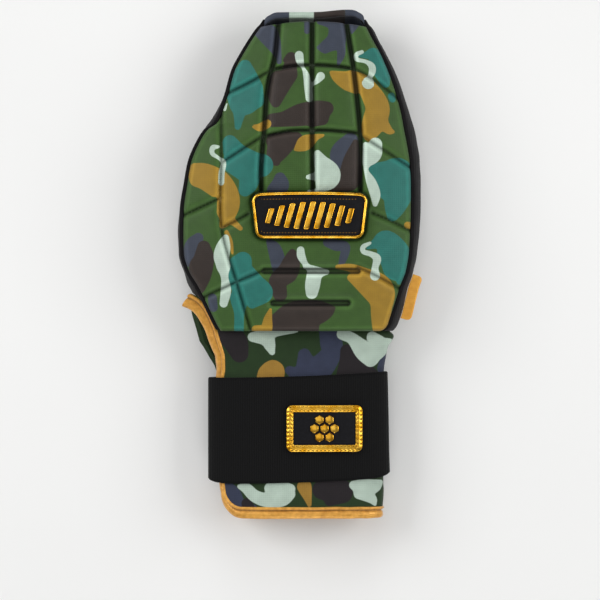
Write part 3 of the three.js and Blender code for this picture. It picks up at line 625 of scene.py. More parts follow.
def close_up(piece, merge=0.0, sharp=45.0):
    """Merges doubles, turns the faces outwards and smooths all but the sharp edges."""
    only(piece)
    bpy.ops.object.mode_set(mode="EDIT")
    bpy.ops.mesh.select_all(action="SELECT")
    if merge:
        bpy.ops.mesh.remove_doubles(threshold=merge)
    bpy.ops.mesh.normals_make_consistent(inside=False)
    bpy.ops.object.mode_set(mode="OBJECT")
    bpy.ops.object.shade_smooth_by_angle(angle=math.radians(sharp))


def add_grid(name, cols, rows):
    only(None)
    bpy.ops.mesh.primitive_grid_add(x_subdivisions=cols, y_subdivisions=rows, size=1)
    piece = bpy.context.object
    piece.name = piece.data.name = name
    flat = read_points(piece.data)
    store(piece.data, "across", flat[:, 0] + 0.5)
    store(piece.data, "along", flat[:, 1] + 0.5)
    return piece


def closed_sheet(name, cols, rows, outer, inner, sharp=45.0):
    """A closed piece between two faces, each a function of the shares across and along it."""
    piece = add_grid(name, cols, rows)
    mesh = piece.data
    bpy.ops.object.mode_set(mode="EDIT")
    bpy.ops.mesh.select_all(action="SELECT")
    bpy.ops.mesh.extrude_region_move(TRANSFORM_OT_translate={"value": (0, 0, -0.1)})
    bpy.ops.object.mode_set(mode="OBJECT")
    below = read_points(mesh)[:, 2] < -0.05
    across, along = stored(mesh, "across"), stored(mesh, "along")
    upper, lower = to_frame(*outer(across, along)), to_frame(*inner(across, along))
    write_points(mesh, np.where(below[:, None], lower, upper))
    close_up(piece, sharp=sharp)
    return piece


def closed_ring(name, table, stitches=None, sharp=45.0):
    """A closed ring from a table of places: rows go round its section, columns round the ring."""
    rows, cols = table.shape[0], table.shape[1]
    piece = add_grid(name, cols, rows)
    i = np.rint(stored(piece.data, "across") * cols).astype(int) % cols
    j = np.rint(stored(piece.data, "along") * rows).astype(int) % rows
    write_points(piece.data, to_frame(*table[j, i].T))
    if stitches is not None:
        store(piece.data, "stitch", stitches[j, i])
    close_up(piece, merge=1e-6, sharp=sharp)
    return piece


def spread(share, closeness):
    """Moves evenly spaced shares closer together at both ends."""
    return share - closeness * np.sin(2 * math.pi * share) / (2 * math.pi)


def finish(piece, material, slot, *nodes):
    """Gives a piece its material and body, and hides the solids that it takes the place of. Its slot is not
    used.
    """
    piece.data.materials.clear()
    piece.data.materials.append(material)
    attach(piece, "root")
    if nodes:
        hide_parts(*nodes)


# The print


def lobe_distance(x, y, chart, lobe):
    """Distance from a lobe of the print, in millimetres and negative inside it."""
    unit, left, top = CHARTS[chart]
    points = spline(lobe, 5)
    places = np.stack((left + unit * points[:, 0], top - unit * points[:, 1], unit * points[:, 2]), axis=1)
    return chain_distance(x, y, places)


def print_distance(x, y, shade, charts):
    """Distance from the nearest lobe of one colour on these charts, at most 50 mm."""
    near = np.full(x.shape, 50.0)
    for chart in charts:
        for lobe in PRINT[shade][chart]:
            near = soft_min(near, lobe_distance(x, y, chart, lobe), PRINT_BLEND)
    return near


def paint(mesh, x, y, charts):
    """Stores how far each vertex is from every colour of the print, in millimetres."""
    for shade in PRINT_ORDER:
        store(mesh, shade, print_distance(x, y, shade, charts))


# The pads


def channel_relief(x, y, pads):
    """Of the channels: their depth, that of their soft shoulders, how far down in one each place lies, which
    sets the painted shade there, and how much painted highlight each place gets on the rim beside one."""
    deep, soft, lip = np.zeros(x.shape), np.zeros(x.shape), np.zeros(x.shape)
    width, depth = pads.channel_width / MM, pads.channel_depth / MM
    side_width, side_depth = pads.side_channel_width / MM, pads.side_channel_depth / MM
    shoulder, reach = pads.shoulder_depth / MM, pads.shoulder_width / MM
    kinds = (
        (MAIN_CHANNELS, width, depth, shoulder, reach, 3.4),
        (CROSS_CHANNELS, 0.72 * width, 0.8 * depth, 0.9 * shoulder, 0.9 * reach, 3.0),
        (SIDE_CHANNELS, side_width, side_depth, 0.7 * shoulder, 0.8 * reach, 2.2),
    )
    for routes, half, fall, side_fall, side_reach, steepness in kinds:
        for route in routes:
            d = route_distance(x, y, route)
            deep = np.maximum(deep, fall * np.exp(-((d / half) ** steepness)))
            soft = np.maximum(soft, side_fall * bell(d, side_reach))
            # Painted highlight on the rim beside the channel
            lip = np.maximum(lip, bell(d - half - LIP_FROM_CHANNEL, LIP_HALF) * side_fall / shoulder)
    return deep, soft, np.clip(deep / depth, 0, 1), lip


def back_relief(x, y, pads):
    """Depth pressed into the back pad, and how much painted shade and painted highlight each place gets for
    it, 0 to 1.
    """
    deep, soft, down, lip = channel_relief(x, y, pads)
    shoulder, reach = pads.shoulder_depth / MM, 0.8 * pads.shoulder_width / MM
    for ends in SLOTS:
        d = chain_distance(x, y, [(a * SHELL_HALF_WIDTH, b * SHELL_LENGTH, SLOT_RADIUS) for a, b in ends])
        deep = np.maximum(deep, pads.slot_depth / MM * (1 - smooth(d, -1.0, 0.5)))
        down = np.maximum(down, (1 - smooth(d, -0.6, 0.5)) * (0.5 + 0.4 * smooth(d, -1.5, -0.5)))
        # Painted highlight on the rims beside the slots
        lip = np.maximum(lip, bell(d - LIP_FROM_CHANNEL, LIP_HALF))
        soft = np.maximum(soft, shoulder * bell(np.maximum(d, 0), reach))
    share = y / SHELL_LENGTH
    border = np.minimum(np.minimum(x - edge_x("thumb", share), edge_x("finger", share) - x), y)
    # Painted highlight along the pad's border
    lip = np.maximum(lip, 0.8 * bell(border - LIP_FROM_BORDER, LIP_HALF))
    creased = smooth(y, 3, 12) * (1 - smooth(y, 52, 62)) * (1 - smooth(np.abs(x - 4), 22, 38))
    soft = soft + pads.crease_depth / MM * creased * waves(x / 12, y / 1.1, 3)
    edge = plate_distance(BADGE, x, y)
    seat = pads.seat_depth / MM * (1 - smooth(edge, 0.4, 1.9)) + 0.9 * bell(np.maximum(edge - 1.0, 0), 3.0)
    off_badge = smooth(edge, -0.5, 1.2)
    # Painted shade: darker down in the channels and slots, and in a ring round the badge's seat
    dark = np.maximum(down * off_badge, 0.55 * (1 - smooth(np.abs(edge - 0.6), 0.4, 1.6)))
    return (deep + soft) * off_badge + seat, dark, lip * off_badge * (1 - np.clip(dark / 0.3, 0, 1))


def pad_edges(share, across):
    """Both edges of the pads, a place between them and its share of the way out from the middle."""
    thumb, finger = edge_x("thumb", share), edge_x("finger", share)
    x = lerp(thumb, finger, spread(across, 0.5))
    return thumb, finger, x, (x - (thumb + finger) / 2) / ((finger - thumb) / 2)


def back_place(across, along, pads, inner):
    share = spread(along, 0.35) * BACK_PAD_TIP
    thumb, finger, x, middle_share = pad_edges(share, across)
    bow = outline("bow", share) * TIP_BOW * (1 - middle_share**2)
    y = share * SHELL_LENGTH + bow
    face = back_face(x, share * SHELL_LENGTH)
    if inner:
        return x, y, face - lerp(BACK_THICK, BACK_RIM_THICK, crown_share(x, share) ** 2)
    radius = pads.rim_radius / MM
    end = np.minimum(y, BACK_PAD_TIP * SHELL_LENGTH + bow - y)
    side = np.minimum(x - thumb, finger - x)
    fall = np.maximum(rounded_fall(side, radius), rounded_fall(end, radius))
    relief = back_relief(x, y, pads)[0]
    return x, y, face - fall - relief + 0.07 * waves(x / 7, y / 9, 2)


def palm_station(along):
    """Path of the palm pad's face in side view: length along it, place, height, direction in from
    it, and shares of the curl and of the lip at its end."""
    flat = SHELL_LENGTH + TIP_LIP + GAP - TIP_CURL
    arc = TIP_CURL * math.pi / 2
    run = spread(along, 0.3) * (flat + arc + PALM_LIP)
    angle = np.clip((run - flat) / TIP_CURL, 0, math.pi / 2)
    y = np.minimum(run, flat) + TIP_CURL * np.sin(angle)
    z = TIP_CURL * (1 - np.cos(angle))
    rim = np.clip((run - flat - arc) / PALM_LIP, 0, 1)
    return run, y, z, -np.sin(angle), np.cos(angle), angle / (math.pi / 2), rim


def palm_place(across, along, inner):
    _, y, z, in_y, in_z, curl, rim = palm_station(along)
    share = np.minimum(1, y / SHELL_LENGTH)
    thumb, finger, x, middle_share = pad_edges(share, across)
    out = np.abs(middle_share)
    cut = rounded_fall(np.minimum(x - thumb, finger - x), TIP_CORNER)
    turn_up = PALM_SIDE_RISE * smooth(share, 0.1, 0.3) * (1 - curl) * smooth(out, 0.8, 1)
    bow = (0.8 * cut - TIP_LEAN * smooth(x, 8, 27)) * curl**2
    x = x + 1.3 * np.sign(middle_share) * smooth(out, 0.9, 1) * smooth(curl, 0.5, 1)
    lip_top = back_face(x, np.full_like(x, BACK_PAD_END * SHELL_LENGTH)) - 1.2
    z = lerp(z, lip_top, rim)
    depth = turn_up + (lerp(PALM_THICK, TIP_LIP, curl) if inner else 0)
    round_top = rounded_fall((1 - rim) * PALM_LIP, 1.5) * (rim > 0)
    return x, y + in_y * depth - bow + (round_top if inner else -round_top), z + in_z * depth


# The side walls


def wall_place(side, across, along, depth):
    """A place on a side wall, depth out from its inner face. Along the slit the thumb's wall is only
    a strip under the back pad's edge, and at the tip both walls are tucked in among the pads."""
    share = lerp(0.004 if side == "thumb" else 0.0, 1.0, spread(along, 0.2))
    y = share * SHELL_LENGTH
    edge = edge_x(side, share)
    high = back_face(edge, np.minimum(y, BACK_PAD_END * SHELL_LENGTH)) - WALL_DROP
    slit = 1 - smooth(share, *SLIT_END) if side == "thumb" else 0.0
    low = lerp(palm_face(y) + PALM_SIDE_RISE + GAP, high - SLIT_STRIP, slit)
    full = np.clip(np.sin(math.pi * across), 0, 1) ** 0.7
    swell = GUSSET_BULGE * outline(side + "_swell", share) * full * (1 - 0.93 * slit)
    fold = 0.3 * full * (1 - slit) * waves(y / 6, across * 2.0, 5 if side == "finger" else 3)
    tuck = 0.0 if depth else WALL_TUCK * smooth(share, 0.955, 0.98)
    out = 1 if side == "finger" else -1
    return edge + out * (GAP + depth + swell + fold - tuck), y, lerp(low, high, across)


# The cuff


def corner_lift(across):
    """How far the hem lifts as it nears the round lower corners of the cuff's two free edges."""
    hem = np.stack(cuff_point(across, np.ones_like(across)), axis=-1)
    lift = 0.0
    for corner in (0.0, 1.0):
        end = np.stack(cuff_point(np.full(1, corner), np.ones(1)), axis=-1)
        lift = lift + rounded_fall(np.linalg.norm(hem - end, axis=-1), CUFF_CORNER)
    return lift


def lifted(across, along, depth):
    """A place on the cuff whose lower corners are round."""
    x, y, z = cuff_point(across, lerp(-0.2, 1.0, along), depth)
    return x, y + corner_lift(across) * np.clip(1 - (y + CUFF_LENGTH) / (2 * CUFF_CORNER), 0, 1), z


def cuff_place(across, along, depth, cuff):
    """A place on the cuff with its soft folds, near the pads and near the hem."""
    x, y, z = lifted(across, along, depth)
    folds = bell(y + 13, 11) * waves(x / 15, y / 4.5, 1) + 0.6 * bell(y + 90, 9) * waves(x / 9, y / 7, 4)
    calm = smooth(across, 0.0, 0.06) * smooth(1 - across, 0.0, 0.06) * smooth(1 - along, 0.0, 0.05)
    return x, y, z + np.where(z > CUFF_MIDDLE, 1, -0.2) * cuff.fold_depth / MM * folds * calm


def tape_path(steps_edge=130, steps_hem=230):
    """Middle of the wall, direction out from the edge and direction out from the face, along the
    cuff's free edge and then its hem."""
    across = np.concatenate((np.zeros(steps_edge), np.linspace(0, 1, steps_hem)[1:]))
    along = np.concatenate((np.linspace(0, 1, steps_edge), np.ones(steps_hem - 1)))
    on_edge = np.arange(len(across)) < steps_edge

    def face(a, b, depth):
        return np.stack(lifted(a, b, depth), axis=-1)

    out, inn = face(across, along, 0.0), face(across, along, CUFF_WALL)
    back = face(across + 0.03 * on_edge, along - 0.04 * ~on_edge, 0.0)
    normal = out - inn
    normal /= np.linalg.norm(normal, axis=1)[:, None]
    away = np.cross(np.gradient(out, axis=0), normal)
    away /= np.linalg.norm(away, axis=1)[:, None] + 1e-9
    away *= np.sign(np.sum(away * (out - back), axis=1))[:, None]
    return (out + inn) / 2, even(away, 9), even(normal, 5)


def even(directions, width):
    """Directions evened out along a path, each of unit length."""
    padded = np.pad(directions, ((width, width), (0, 0)), mode="edge")
    kernel = np.ones(2 * width + 1) / (2 * width + 1)
    mean = np.stack([np.convolve(padded[:, k], kernel, mode="valid") for k in range(3)], axis=1)
    return mean / np.linalg.norm(mean, axis=1)[:, None]


def tape_reach(across):
    """Distance out from the cuff's edge, from the tape's inner edge to its outer one."""
    return lerp(-1.15, 5.8, spread(across, 0.4))


def tape_half(reach, tape):
    """Half thickness of the tape at a distance out from the cuff's edge: a ridge, a crease and a band."""
    wall = CUFF_WALL / 2
    ridge_half, band_half = tape.ridge_width / MM / 2, 2.35
    ridge = (wall + tape.ridge_height / MM) * np.sqrt(np.clip(1 - ((reach + 0.1) / ridge_half) ** 2, 0, 1))
    band = (wall + 0.3) * np.sqrt(np.clip(1 - ((reach - 3.45) / band_half) ** 2, 0, 1))
    return np.maximum(np.maximum(ridge, band), np.where(reach < 5.0, 0.8, 0.0))


def tape_place(across, along, side, path, tape):
    """A place on the tape, a little rumpled, and broader along the slit. side is 1 or -1."""
    middle, away, normal = path
    k = np.rint(along * (len(middle) - 1)).astype(int)
    reach = tape_reach(across)
    half = tape_half(reach, tape) + 0.2 * waves(along * 110, reach, 2) * (reach > -0.9) * (reach < 5.3)
    broad = np.where(reach > 0, 1 + (tape.slit_share - 1) * smooth(1 - along, 0.64, 0.78), 1.0)
    pulled = 0.2 * waves(along * 60, reach * 0.2, 6)
    out, lift = (reach * broad + pulled)[:, None], (side * half)[:, None]
    return (middle[k] + away[k] * out + normal[k] * lift).T


# The strap


def strap_place(across, along, inner):
    """A place on the strap, which is wound on past a full turn to a lap on the palm side. Its finger
    side leans out towards the hem, and its lower corners are round."""
    turned = STRAP_TURN * along
    lap = (STRAP_THICK + GAP) * smooth(turned, *STRAP_LAP)
    side = np.minimum(across, 1 - across) * STRAP_WIDTH
    spare = GAP + lap + (0 if inner else STRAP_THICK - 0.5 * rounded_fall(side, 1.2))
    x, z = strap_point(STRAP_START - turned, spare)
    half = np.where(x < CUFF_CENTRE, STRAP_THUMB_REACH, CUFF_HALF_WIDTH + spare)
    reach = (x - CUFF_CENTRE) / half
    y = strap_y(x, spread(across, 0.3)) + 2.4 * np.abs(reach) ** 14 * across**5
    return x + 0.5 * reach + 1.4 * across * smooth(reach, 0.2, 1.0), y, z


# The two moulded plates

BADGE = {
    "x": 5.0, "y": 0.371 * SHELL_LENGTH - 0.8, "width": 66.0, "height": 25.4,
    "taper": 3.0, "corner": 5.0, "arch": 0.9, "face": back_face,
}
PATCH = {
    "x": 13.4, "y": float(strap_y(13.4, 0.5)), "width": 43.0, "height": 26.4,
    "taper": 0.0, "corner": 3.4, "arch": 0.0, "face": strap_face,
}
BADGE_TOP = 1.3
PATCH_TOP = 1.7
SHARPEST_CORNER = 0.5


def plate_width(plate, v, grow):
    """Half width of a plate at a distance v up from its middle, before its corners are rounded."""
    return plate["width"] / 2 + grow - plate["taper"] * (0.5 - v / plate["height"])


def plate_half(plate, v, grow):
    """Half width of a plate at a distance v up from its middle. grow is added all round it."""
    corner = max(SHARPEST_CORNER, plate["corner"] + grow)
    into = np.clip(corner - (plate["height"] / 2 + grow - np.abs(v)), 0, corner)
    return plate_width(plate, v, grow) - (corner - np.sqrt(corner**2 - into**2))


def plate_distance(plate, x, y):
    """Distance from a plate's outline, negative inside it."""
    corner = plate["corner"]
    u, v = np.abs(x - plate["x"]), y - plate["y"]
    a = u - plate_width(plate, v, 0) + corner
    b = np.abs(v) - plate["height"] / 2 + corner
    return np.hypot(np.maximum(a, 0), np.maximum(b, 0)) + np.minimum(np.maximum(a, b), 0) - corner


def on_plate(plate, u, v, lift):
    """A place over the face that a plate sits on. Its upper side is arched a little."""
    arch = plate["arch"] * (1 - (2 * u / plate["width"]) ** 2) * np.clip(2 * v / plate["height"], 0, 1)
    x, y = plate["x"] + u, plate["y"] + v + arch
    return x, y, plate["face"](x, y) + lift


def plate_outline(plate, grow, arc_steps, side_steps, end_steps):
    """Points round a plate's outline, the same number for every size, so that they can be joined."""
    corner = max(SHARPEST_CORNER, plate["corner"] + grow)
    top = plate["height"] / 2 + grow
    arcs = []
    for sign_x, sign_y, first in ((1, 1, 90), (1, -1, 0), (-1, -1, 270), (-1, 1, 180)):
        middle_v = sign_y * (top - corner)
        middle_u = sign_x * (plate_width(plate, middle_v, grow) - corner)
        turn = np.radians(first - np.linspace(0, 90, arc_steps))
        arcs.append(np.stack((middle_u + corner * np.cos(turn), middle_v + corner * np.sin(turn)), axis=1))
    points = []
    for k, arc in enumerate(arcs):
        steps = side_steps if k % 2 == 0 else end_steps
        t = np.linspace(0, 1, steps + 2)[1:-1, None]
        points += [arc, lerp(arc[-1], arcs[(k + 1) % 4][0], t)]
    return np.concatenate(points)


def plate_piece(name, plate, low, high, edge):
    """The field of a plate, between two heights over its face, with a rounded upper edge."""
    def face(across, along, lift, round_edge):
        v = plate["height"] / 2 * np.sin(math.pi * (along - 0.5))
        u = (2 * spread(across, 0.5) - 1) * plate_half(plate, v, 0)
        near = np.minimum(plate_half(plate, v, 0) - np.abs(u), plate["height"] / 2 - np.abs(v))
        return on_plate(plate, u, v, lift - (rounded_fall(near, edge) if round_edge else 0))

    return closed_sheet(
        name, 210, 72, lambda a, b: face(a, b, high, True), lambda a, b: face(a, b, low, False),
    )


def frame_piece(name, plate, top, width, height, dimples=None):
    """A raised rim round a plate. dimples holds the number of stitches, their depth and how far the
    two rows lie from the rim's middle."""
    sizes = (14, 64, 116) if dimples is None else (22, 130, 224)
    rows, marks = [], []
    for turn in np.linspace(0, 2 * math.pi, 28, endpoint=False):
        grow = -width / 2 + width / 2 * math.cos(turn)
        points = plate_outline(plate, grow, *sizes)
        rise = height * math.sin(turn) ** 0.75 if math.sin(turn) > 0 else 0.3 * math.sin(turn)
        lift, mark = np.full(len(points), top + rise), np.zeros(len(points))
        if dimples and rise > 0:
            count, depth, inset = dimples
            mid = plate_outline(plate, -width / 2, *sizes)
            run = np.concatenate(([0], np.cumsum(np.linalg.norm(np.diff(mid, axis=0), axis=1))))
            beat = (0.5 + 0.5 * np.cos(2 * math.pi * count * run / (run[-1] + 0.5))) ** 2.5
            near = bell(abs(grow + width / 2) - inset, 0.36)
            mark = near * beat
            lift = lift - depth * near * (0.22 + 0.78 * beat)
        marks.append(mark)
        rows.append(np.stack(on_plate(plate, points[:, 0], points[:, 1], lift), axis=1))
    return closed_ring(name, np.array(rows), np.array(marks))
BADGE_STITCH = 1.7  # length of a stitch of the thread on the badge's field
TAPE_STITCH = 2.6

# The badge's bars: the row, a bar and its cut as shares of the field's width, the pitch, the field's
# height and half a bar's length
BAR_ROW = 0.765
BAR_WIDTH = 0.57
BAR_LENGTH = 0.59
BAR_CUT = 0.45  # how much shorter the outermost bars are
BAR_LEAN = 0.28  # sideways for each millimetre up
BAR_END = 1.0  # length of a bar's bevelled end, which the cut only moves
MASTER_SUNK = 0.2  # how far bars and studs reach into their field

# The side tag
TAG_ALONG = 0.112  # its middle, a share of the pads' length
TAG_WIDTH = 25.0
TAG_REACH = 6.0
TAG_CORNER = 2.6
TAG_HALF = 0.6
TAG_AWAY = Vector((0.95, -0.28, -0.12)).normalized()


def tag_place(across, along, side):
    """A place on the folded ribbon, from its root in the seam to its fold. side is 1 or -1."""
    share, out = spread(along, 0.3), spread(across, 0.3)
    root_y = TAG_ALONG * SHELL_LENGTH + TAG_WIDTH * (share - 0.5)
    edge = edge_x("finger", root_y / SHELL_LENGTH)
    swell = GUSSET_BULGE * outline("finger_swell", root_y / SHELL_LENGTH)
    low, high = palm_face(root_y) + PALM_SIDE_RISE + GAP, back_face(edge, root_y) - WALL_DROP
    corner = np.clip(1 - np.minimum(share, 1 - share) * TAG_WIDTH / TAG_CORNER, 0, 1)
    reach = out * (TAG_REACH - TAG_CORNER * (1 - np.sqrt(1 - corner**2)))
    fold = np.clip((out - 0.86) / 0.14, 0, 1)
    half = TAG_HALF * np.sqrt(np.clip(1 - fold**2, 0, 1)) + 0.02
    lift = side * half + 0.35 * np.sin(math.pi * share) * out
    x = edge + GAP + GUSSET_WALL + GAP + swell + TAG_AWAY.x * reach
    return x, root_y + TAG_AWAY.y * reach, (low + high) / 2 + TAG_AWAY.z * reach + lift


# Materials


def linear(code):
    """Linear colour of a hex sRGB one."""
    parts = [int(code[k : k + 2], 16) / 255 for k in (1, 3, 5)]
    return tuple(c / 12.92 if c <= 0.04045 else ((c + 0.055) / 1.055) ** 2.4 for c in parts) + (1.0,)


COLOUR = {"data_type": "RGBA"}  # a Mix node of colours: inputs 0, 6 and 7, output 2


def add(tree, kind, inputs=(), out=0, **settings):
    """Adds a node with its settings and its inputs, in order or named, and gives one output."""
    made = tree.nodes.new(kind)
    for key, value in settings.items():
        setattr(made, key, value)
    for key, value in inputs.items() if isinstance(inputs, dict) else enumerate(inputs):
        if isinstance(value, bpy.types.NodeSocket):
            tree.links.new(value, made.inputs[key])
        else:
            made.inputs[key].default_value = value
    return made.outputs[out]


def new_material(name, **constants):
    """A material, its nodes and its shader, which has the given values all over."""
    made = bpy.data.materials.new(name)
    made.use_nodes = True
    shader = made.node_tree.nodes["Principled BSDF"]
    for key, value in constants.items():
        shader.inputs[key.replace("_", " ")].default_value = value
    return made, made.node_tree, shader


def surface(tree, shader, colour, height, strength, depth_mm):
    """Gives a shader its colour and its fine relief."""
    tree.links.new(colour, shader.inputs["Base Color"])
    relief = {"Height": height, "Strength": strength, "Distance": depth_mm * MM}
    tree.links.new(add(tree, "ShaderNodeBump", relief), shader.inputs["Normal"])


def unevenness(tree, pitch_mm, detail=2.0, low=0.0, high=1.0, to_low=0.0, to_high=1.0):
    """Cloudy variation over a piece, with its low to high part spread from to_low to to_high."""
    place = add(tree, "ShaderNodeTexCoord", out="Object")
    inputs = {"Vector": place, "Scale": 1000 / pitch_mm, "Detail": detail}
    clouds = add(tree, "ShaderNodeTexNoise", inputs, "Fac")
    return add(tree, "ShaderNodeMapRange", (clouds, low, high, to_low, to_high))


def threads(tree, x_pitch_mm, y_pitch_mm):
    """Two sets of even threads, side by side along X and along Y."""
    place = add(tree, "ShaderNodeTexCoord", out="Object")
    sets = []
    for pitch, direction in ((x_pitch_mm, "X"), (y_pitch_mm, "Y")):
        scale = 2 * math.pi / 20 / (pitch * MM)  # a wave's own period is 2 pi / 20
        inputs = {"Vector": place, "Scale": scale}
        sets.append(add(tree, "ShaderNodeTexWave", inputs, "Fac", bands_direction=direction))
    return sets


def printed_fabric(name, colours, place, roughness):
    """Dyed knit laminated to foam: a crisp print with a low sheen, a painted highlight on the rims beside
    the channels and along the pad's border, and painted shade down in the channels and slots and round the
    badge's seat. Real loops are about 0.6 mm apart, too fine to show, so they are drawn at 1.1 mm."""
    made, tree, shader = new_material(
        name, Roughness=roughness, Sheen_Weight=0.12, Sheen_Roughness=0.4, Specular_IOR_Level=0.25,
    )
    colour = getattr(colours, place + "_green")
    for shade in PRINT_ORDER:
        distance = add(tree, "ShaderNodeAttribute", out="Fac", attribute_name=shade)
        inside = add(tree, "ShaderNodeMapRange", (distance, -0.18, 0.18, 1.0, 0.0))
        inputs = {0: inside, 6: colour, 7: getattr(colours, place + "_" + shade)}
        colour = add(tree, "ShaderNodeMix", inputs, 2, **COLOUR)
    knit = add(tree, "ShaderNodeMath", threads(tree, 1.1, 1.1), operation="ADD")
    # Painted highlight: the print is made up to 45% lighter on the rims beside the channels and along the
    # border
    lip = add(tree, "ShaderNodeAttribute", out="Fac", attribute_name="lip")
    light = unevenness(tree, 6.0, 4.0, 0.3, 0.7, 0.9, 1.08)
    for amount, darkest, lightest in ((lip, 1.0, 1.45), (knit, 0.9, 1.07)):
        factor = add(tree, "ShaderNodeMapRange", (amount, 0.0, 1.0, darkest, lightest))
        light = add(tree, "ShaderNodeMath", (light, factor), operation="MULTIPLY")
    grey = add(tree, "ShaderNodeCombineColor", (light, light, light))
    colour = add(tree, "ShaderNodeMix", {0: 1.0, 6: colour, 7: grey}, 2, blend_type="MULTIPLY", **COLOUR)
    # Painted shade: down in the channels and slots and round the badge's seat, the print is darkened towards
    # 0.17 of its colour
    dark = {0: 1.0, 6: colour, 7: (0.17, 0.17, 0.17, 1.0)}
    painted_shade_colour = add(tree, "ShaderNodeMix", dark, 2, blend_type="MULTIPLY", **COLOUR)
    painted_recess_shade = add(tree, "ShaderNodeAttribute", out="Fac", attribute_name="painted_recess_shade")
    pressed = add(tree, "ShaderNodeMapRange", (painted_recess_shade, 0.18, 0.75, 0.0, 0.94))
    colour = add(tree, "ShaderNodeMix", {0: pressed, 6: colour, 7: painted_shade_colour}, 2, **COLOUR)
    surface(tree, shader, colour, knit, 0.3, 0.12)
    return made


def black_knit(name, colours):
    """Closed-cell rubber faced with black knit: near black, with a soft sheen and fine even loops,
    which are drawn at 1.2 mm so that they show."""
    made, tree, shader = new_material(
        name, Roughness=0.75, Sheen_Weight=0.04, Sheen_Roughness=0.5, Specular_IOR_Level=0.15,
    )
    tone = unevenness(tree, 9.0, 3.0, 0.3, 0.7)
    colour = add(tree, "ShaderNodeMix", {0: tone, 6: colours.knit, 7: colours.knit_worn}, 2, **COLOUR)
    knit = add(tree, "ShaderNodeMath", threads(tree, 1.2, 1.2), operation="ADD")
    surface(tree, shader, colour, knit, 0.3, 0.2)
    return made


def strap_fabric(name, colours):
    """Woven elastic: matt black and ribbed, with a darker selvedge at both edges. Real ribs are about 0.8 mm
    apart, and are drawn at 1.3 mm so that they show."""
    made, tree, shader = new_material(
        name, Roughness=0.8, Sheen_Weight=0.03, Sheen_Roughness=0.5, Specular_IOR_Level=0.12,
    )
    ribs, yarn = threads(tree, 1.3, 1.0)
    height = add(tree, "ShaderNodeMath", (yarn, 0.5, ribs), operation="MULTIPLY_ADD")
    tone = add(tree, "ShaderNodeMapRange", (ribs, 0.0, 1.0, 0.0, 0.8))
    colour = add(tree, "ShaderNodeMix", {0: tone, 6: colours.strap, 7: colours.strap_rib}, 2, **COLOUR)
    from_edge = add(tree, "ShaderNodeAttribute", out="Fac", attribute_name="edge")
    selvedge = add(tree, "ShaderNodeMapRange", (from_edge, 1.8, 2.4, 0.7, 0.0))
    colour = add(tree, "ShaderNodeMix", {0: selvedge, 6: colour, 7: colours.selvedge}, 2, **COLOUR)
    surface(tree, shader, colour, height, 0.4, 0.25)
    return made


def gold_fabric(name, colours, kind, pitch_mm):
    """Satin-woven tape or ribbon: warm yellow with a silky gleam, darker along its crease mark: on the tape
    that is painted shade in the crease between ridge and band, a little deeper at each stitch, and on the
    ribbon a narrow band near its root.
    Its yarns are really half as far apart, and are drawn as coarse as they need to show."""
    made, tree, shader = new_material(name, Roughness=0.38, Sheen_Weight=0.15, Metallic=0.25)
    light, dark = getattr(colours, kind), getattr(colours, kind + "_shade")
    tone = unevenness(tree, 2.5, 3.0, 0.3, 0.7)
    colour = add(tree, "ShaderNodeMix", {0: tone, 6: light, 7: dark}, 2, **COLOUR)
    # The crease mark darkens the colour: painted shade in the tape's crease, and a darker band by the
    # ribbon's root
    crease = add(tree, "ShaderNodeAttribute", out="Fac", attribute_name="crease")
    drawn = add(tree, "ShaderNodeMapRange", (crease, 0.0, 1.0, 0.0, 0.7))
    colour = add(tree, "ShaderNodeMix", {0: drawn, 6: colour, 7: linear("#3a2208")}, 2, **COLOUR)
    weave = add(tree, "ShaderNodeMath", threads(tree, pitch_mm, pitch_mm), operation="ADD")
    surface(tree, shader, colour, weave, 0.3, 0.15)
    return made


def gold_foil(name, colours, roughness):
    """Foil-faced moulded rubber: a bright yellow mirror, slightly uneven, with dark stitch holes."""
    made, tree, shader = new_material(name, Metallic=1.0, Roughness=roughness)
    tone = unevenness(tree, 5.0, 2.0, 0.35, 0.65)
    colour = add(tree, "ShaderNodeMix", {0: tone, 6: colours.foil, 7: colours.foil_shade}, 2, **COLOUR)
    stitch = add(tree, "ShaderNodeAttribute", out="Fac", attribute_name="stitch")
    hole = add(tree, "ShaderNodeMapRange", (stitch, 0.3, 0.7, 0.0, 0.85))
    colour = add(tree, "ShaderNodeMix", {0: hole, 6: colour, 7: linear("#4a2c06")}, 2, **COLOUR)
    surface(tree, shader, colour, unevenness(tree, 3.0), 0.06, 0.15)
    return made


def black_field(name, colours):
    """Moulded rubber: satin black with a fine leather-like grain, and a thread of brown stitches."""
    made, tree, shader = new_material(name, Roughness=0.5, Specular_IOR_Level=0.16)
    tone = unevenness(tree, 1.2, 4.0, 0.3, 0.7)
    colour = add(tree, "ShaderNodeMix", {0: tone, 6: colours.rubber, 7: colours.rubber_grain}, 2, **COLOUR)
    stitch = add(tree, "ShaderNodeAttribute", out="Fac", attribute_name="stitch")
    thread = add(tree, "ShaderNodeMapRange", (stitch, 0.35, 0.6, 0.0, 1.0))
    colour = add(tree, "ShaderNodeMix", {0: thread, 6: colour, 7: colours.thread}, 2, **COLOUR)
    surface(tree, shader, colour, unevenness(tree, 1.0, 3.0), 0.35, 0.2)
    return made


def white_paper(name):
    """Studio paper: matt and almost even."""
    made, tree, shader = new_material(name, Roughness=0.9)
    tone = unevenness(tree, 400.0, 2.0, 0.3, 0.7)
    colour = {0: tone, 6: linear("#f4f4f3"), 7: linear("#efefee")}
    tree.links.new(add(tree, "ShaderNodeMix", colour, 2, **COLOUR), shader.inputs["Base Color"])
    return made


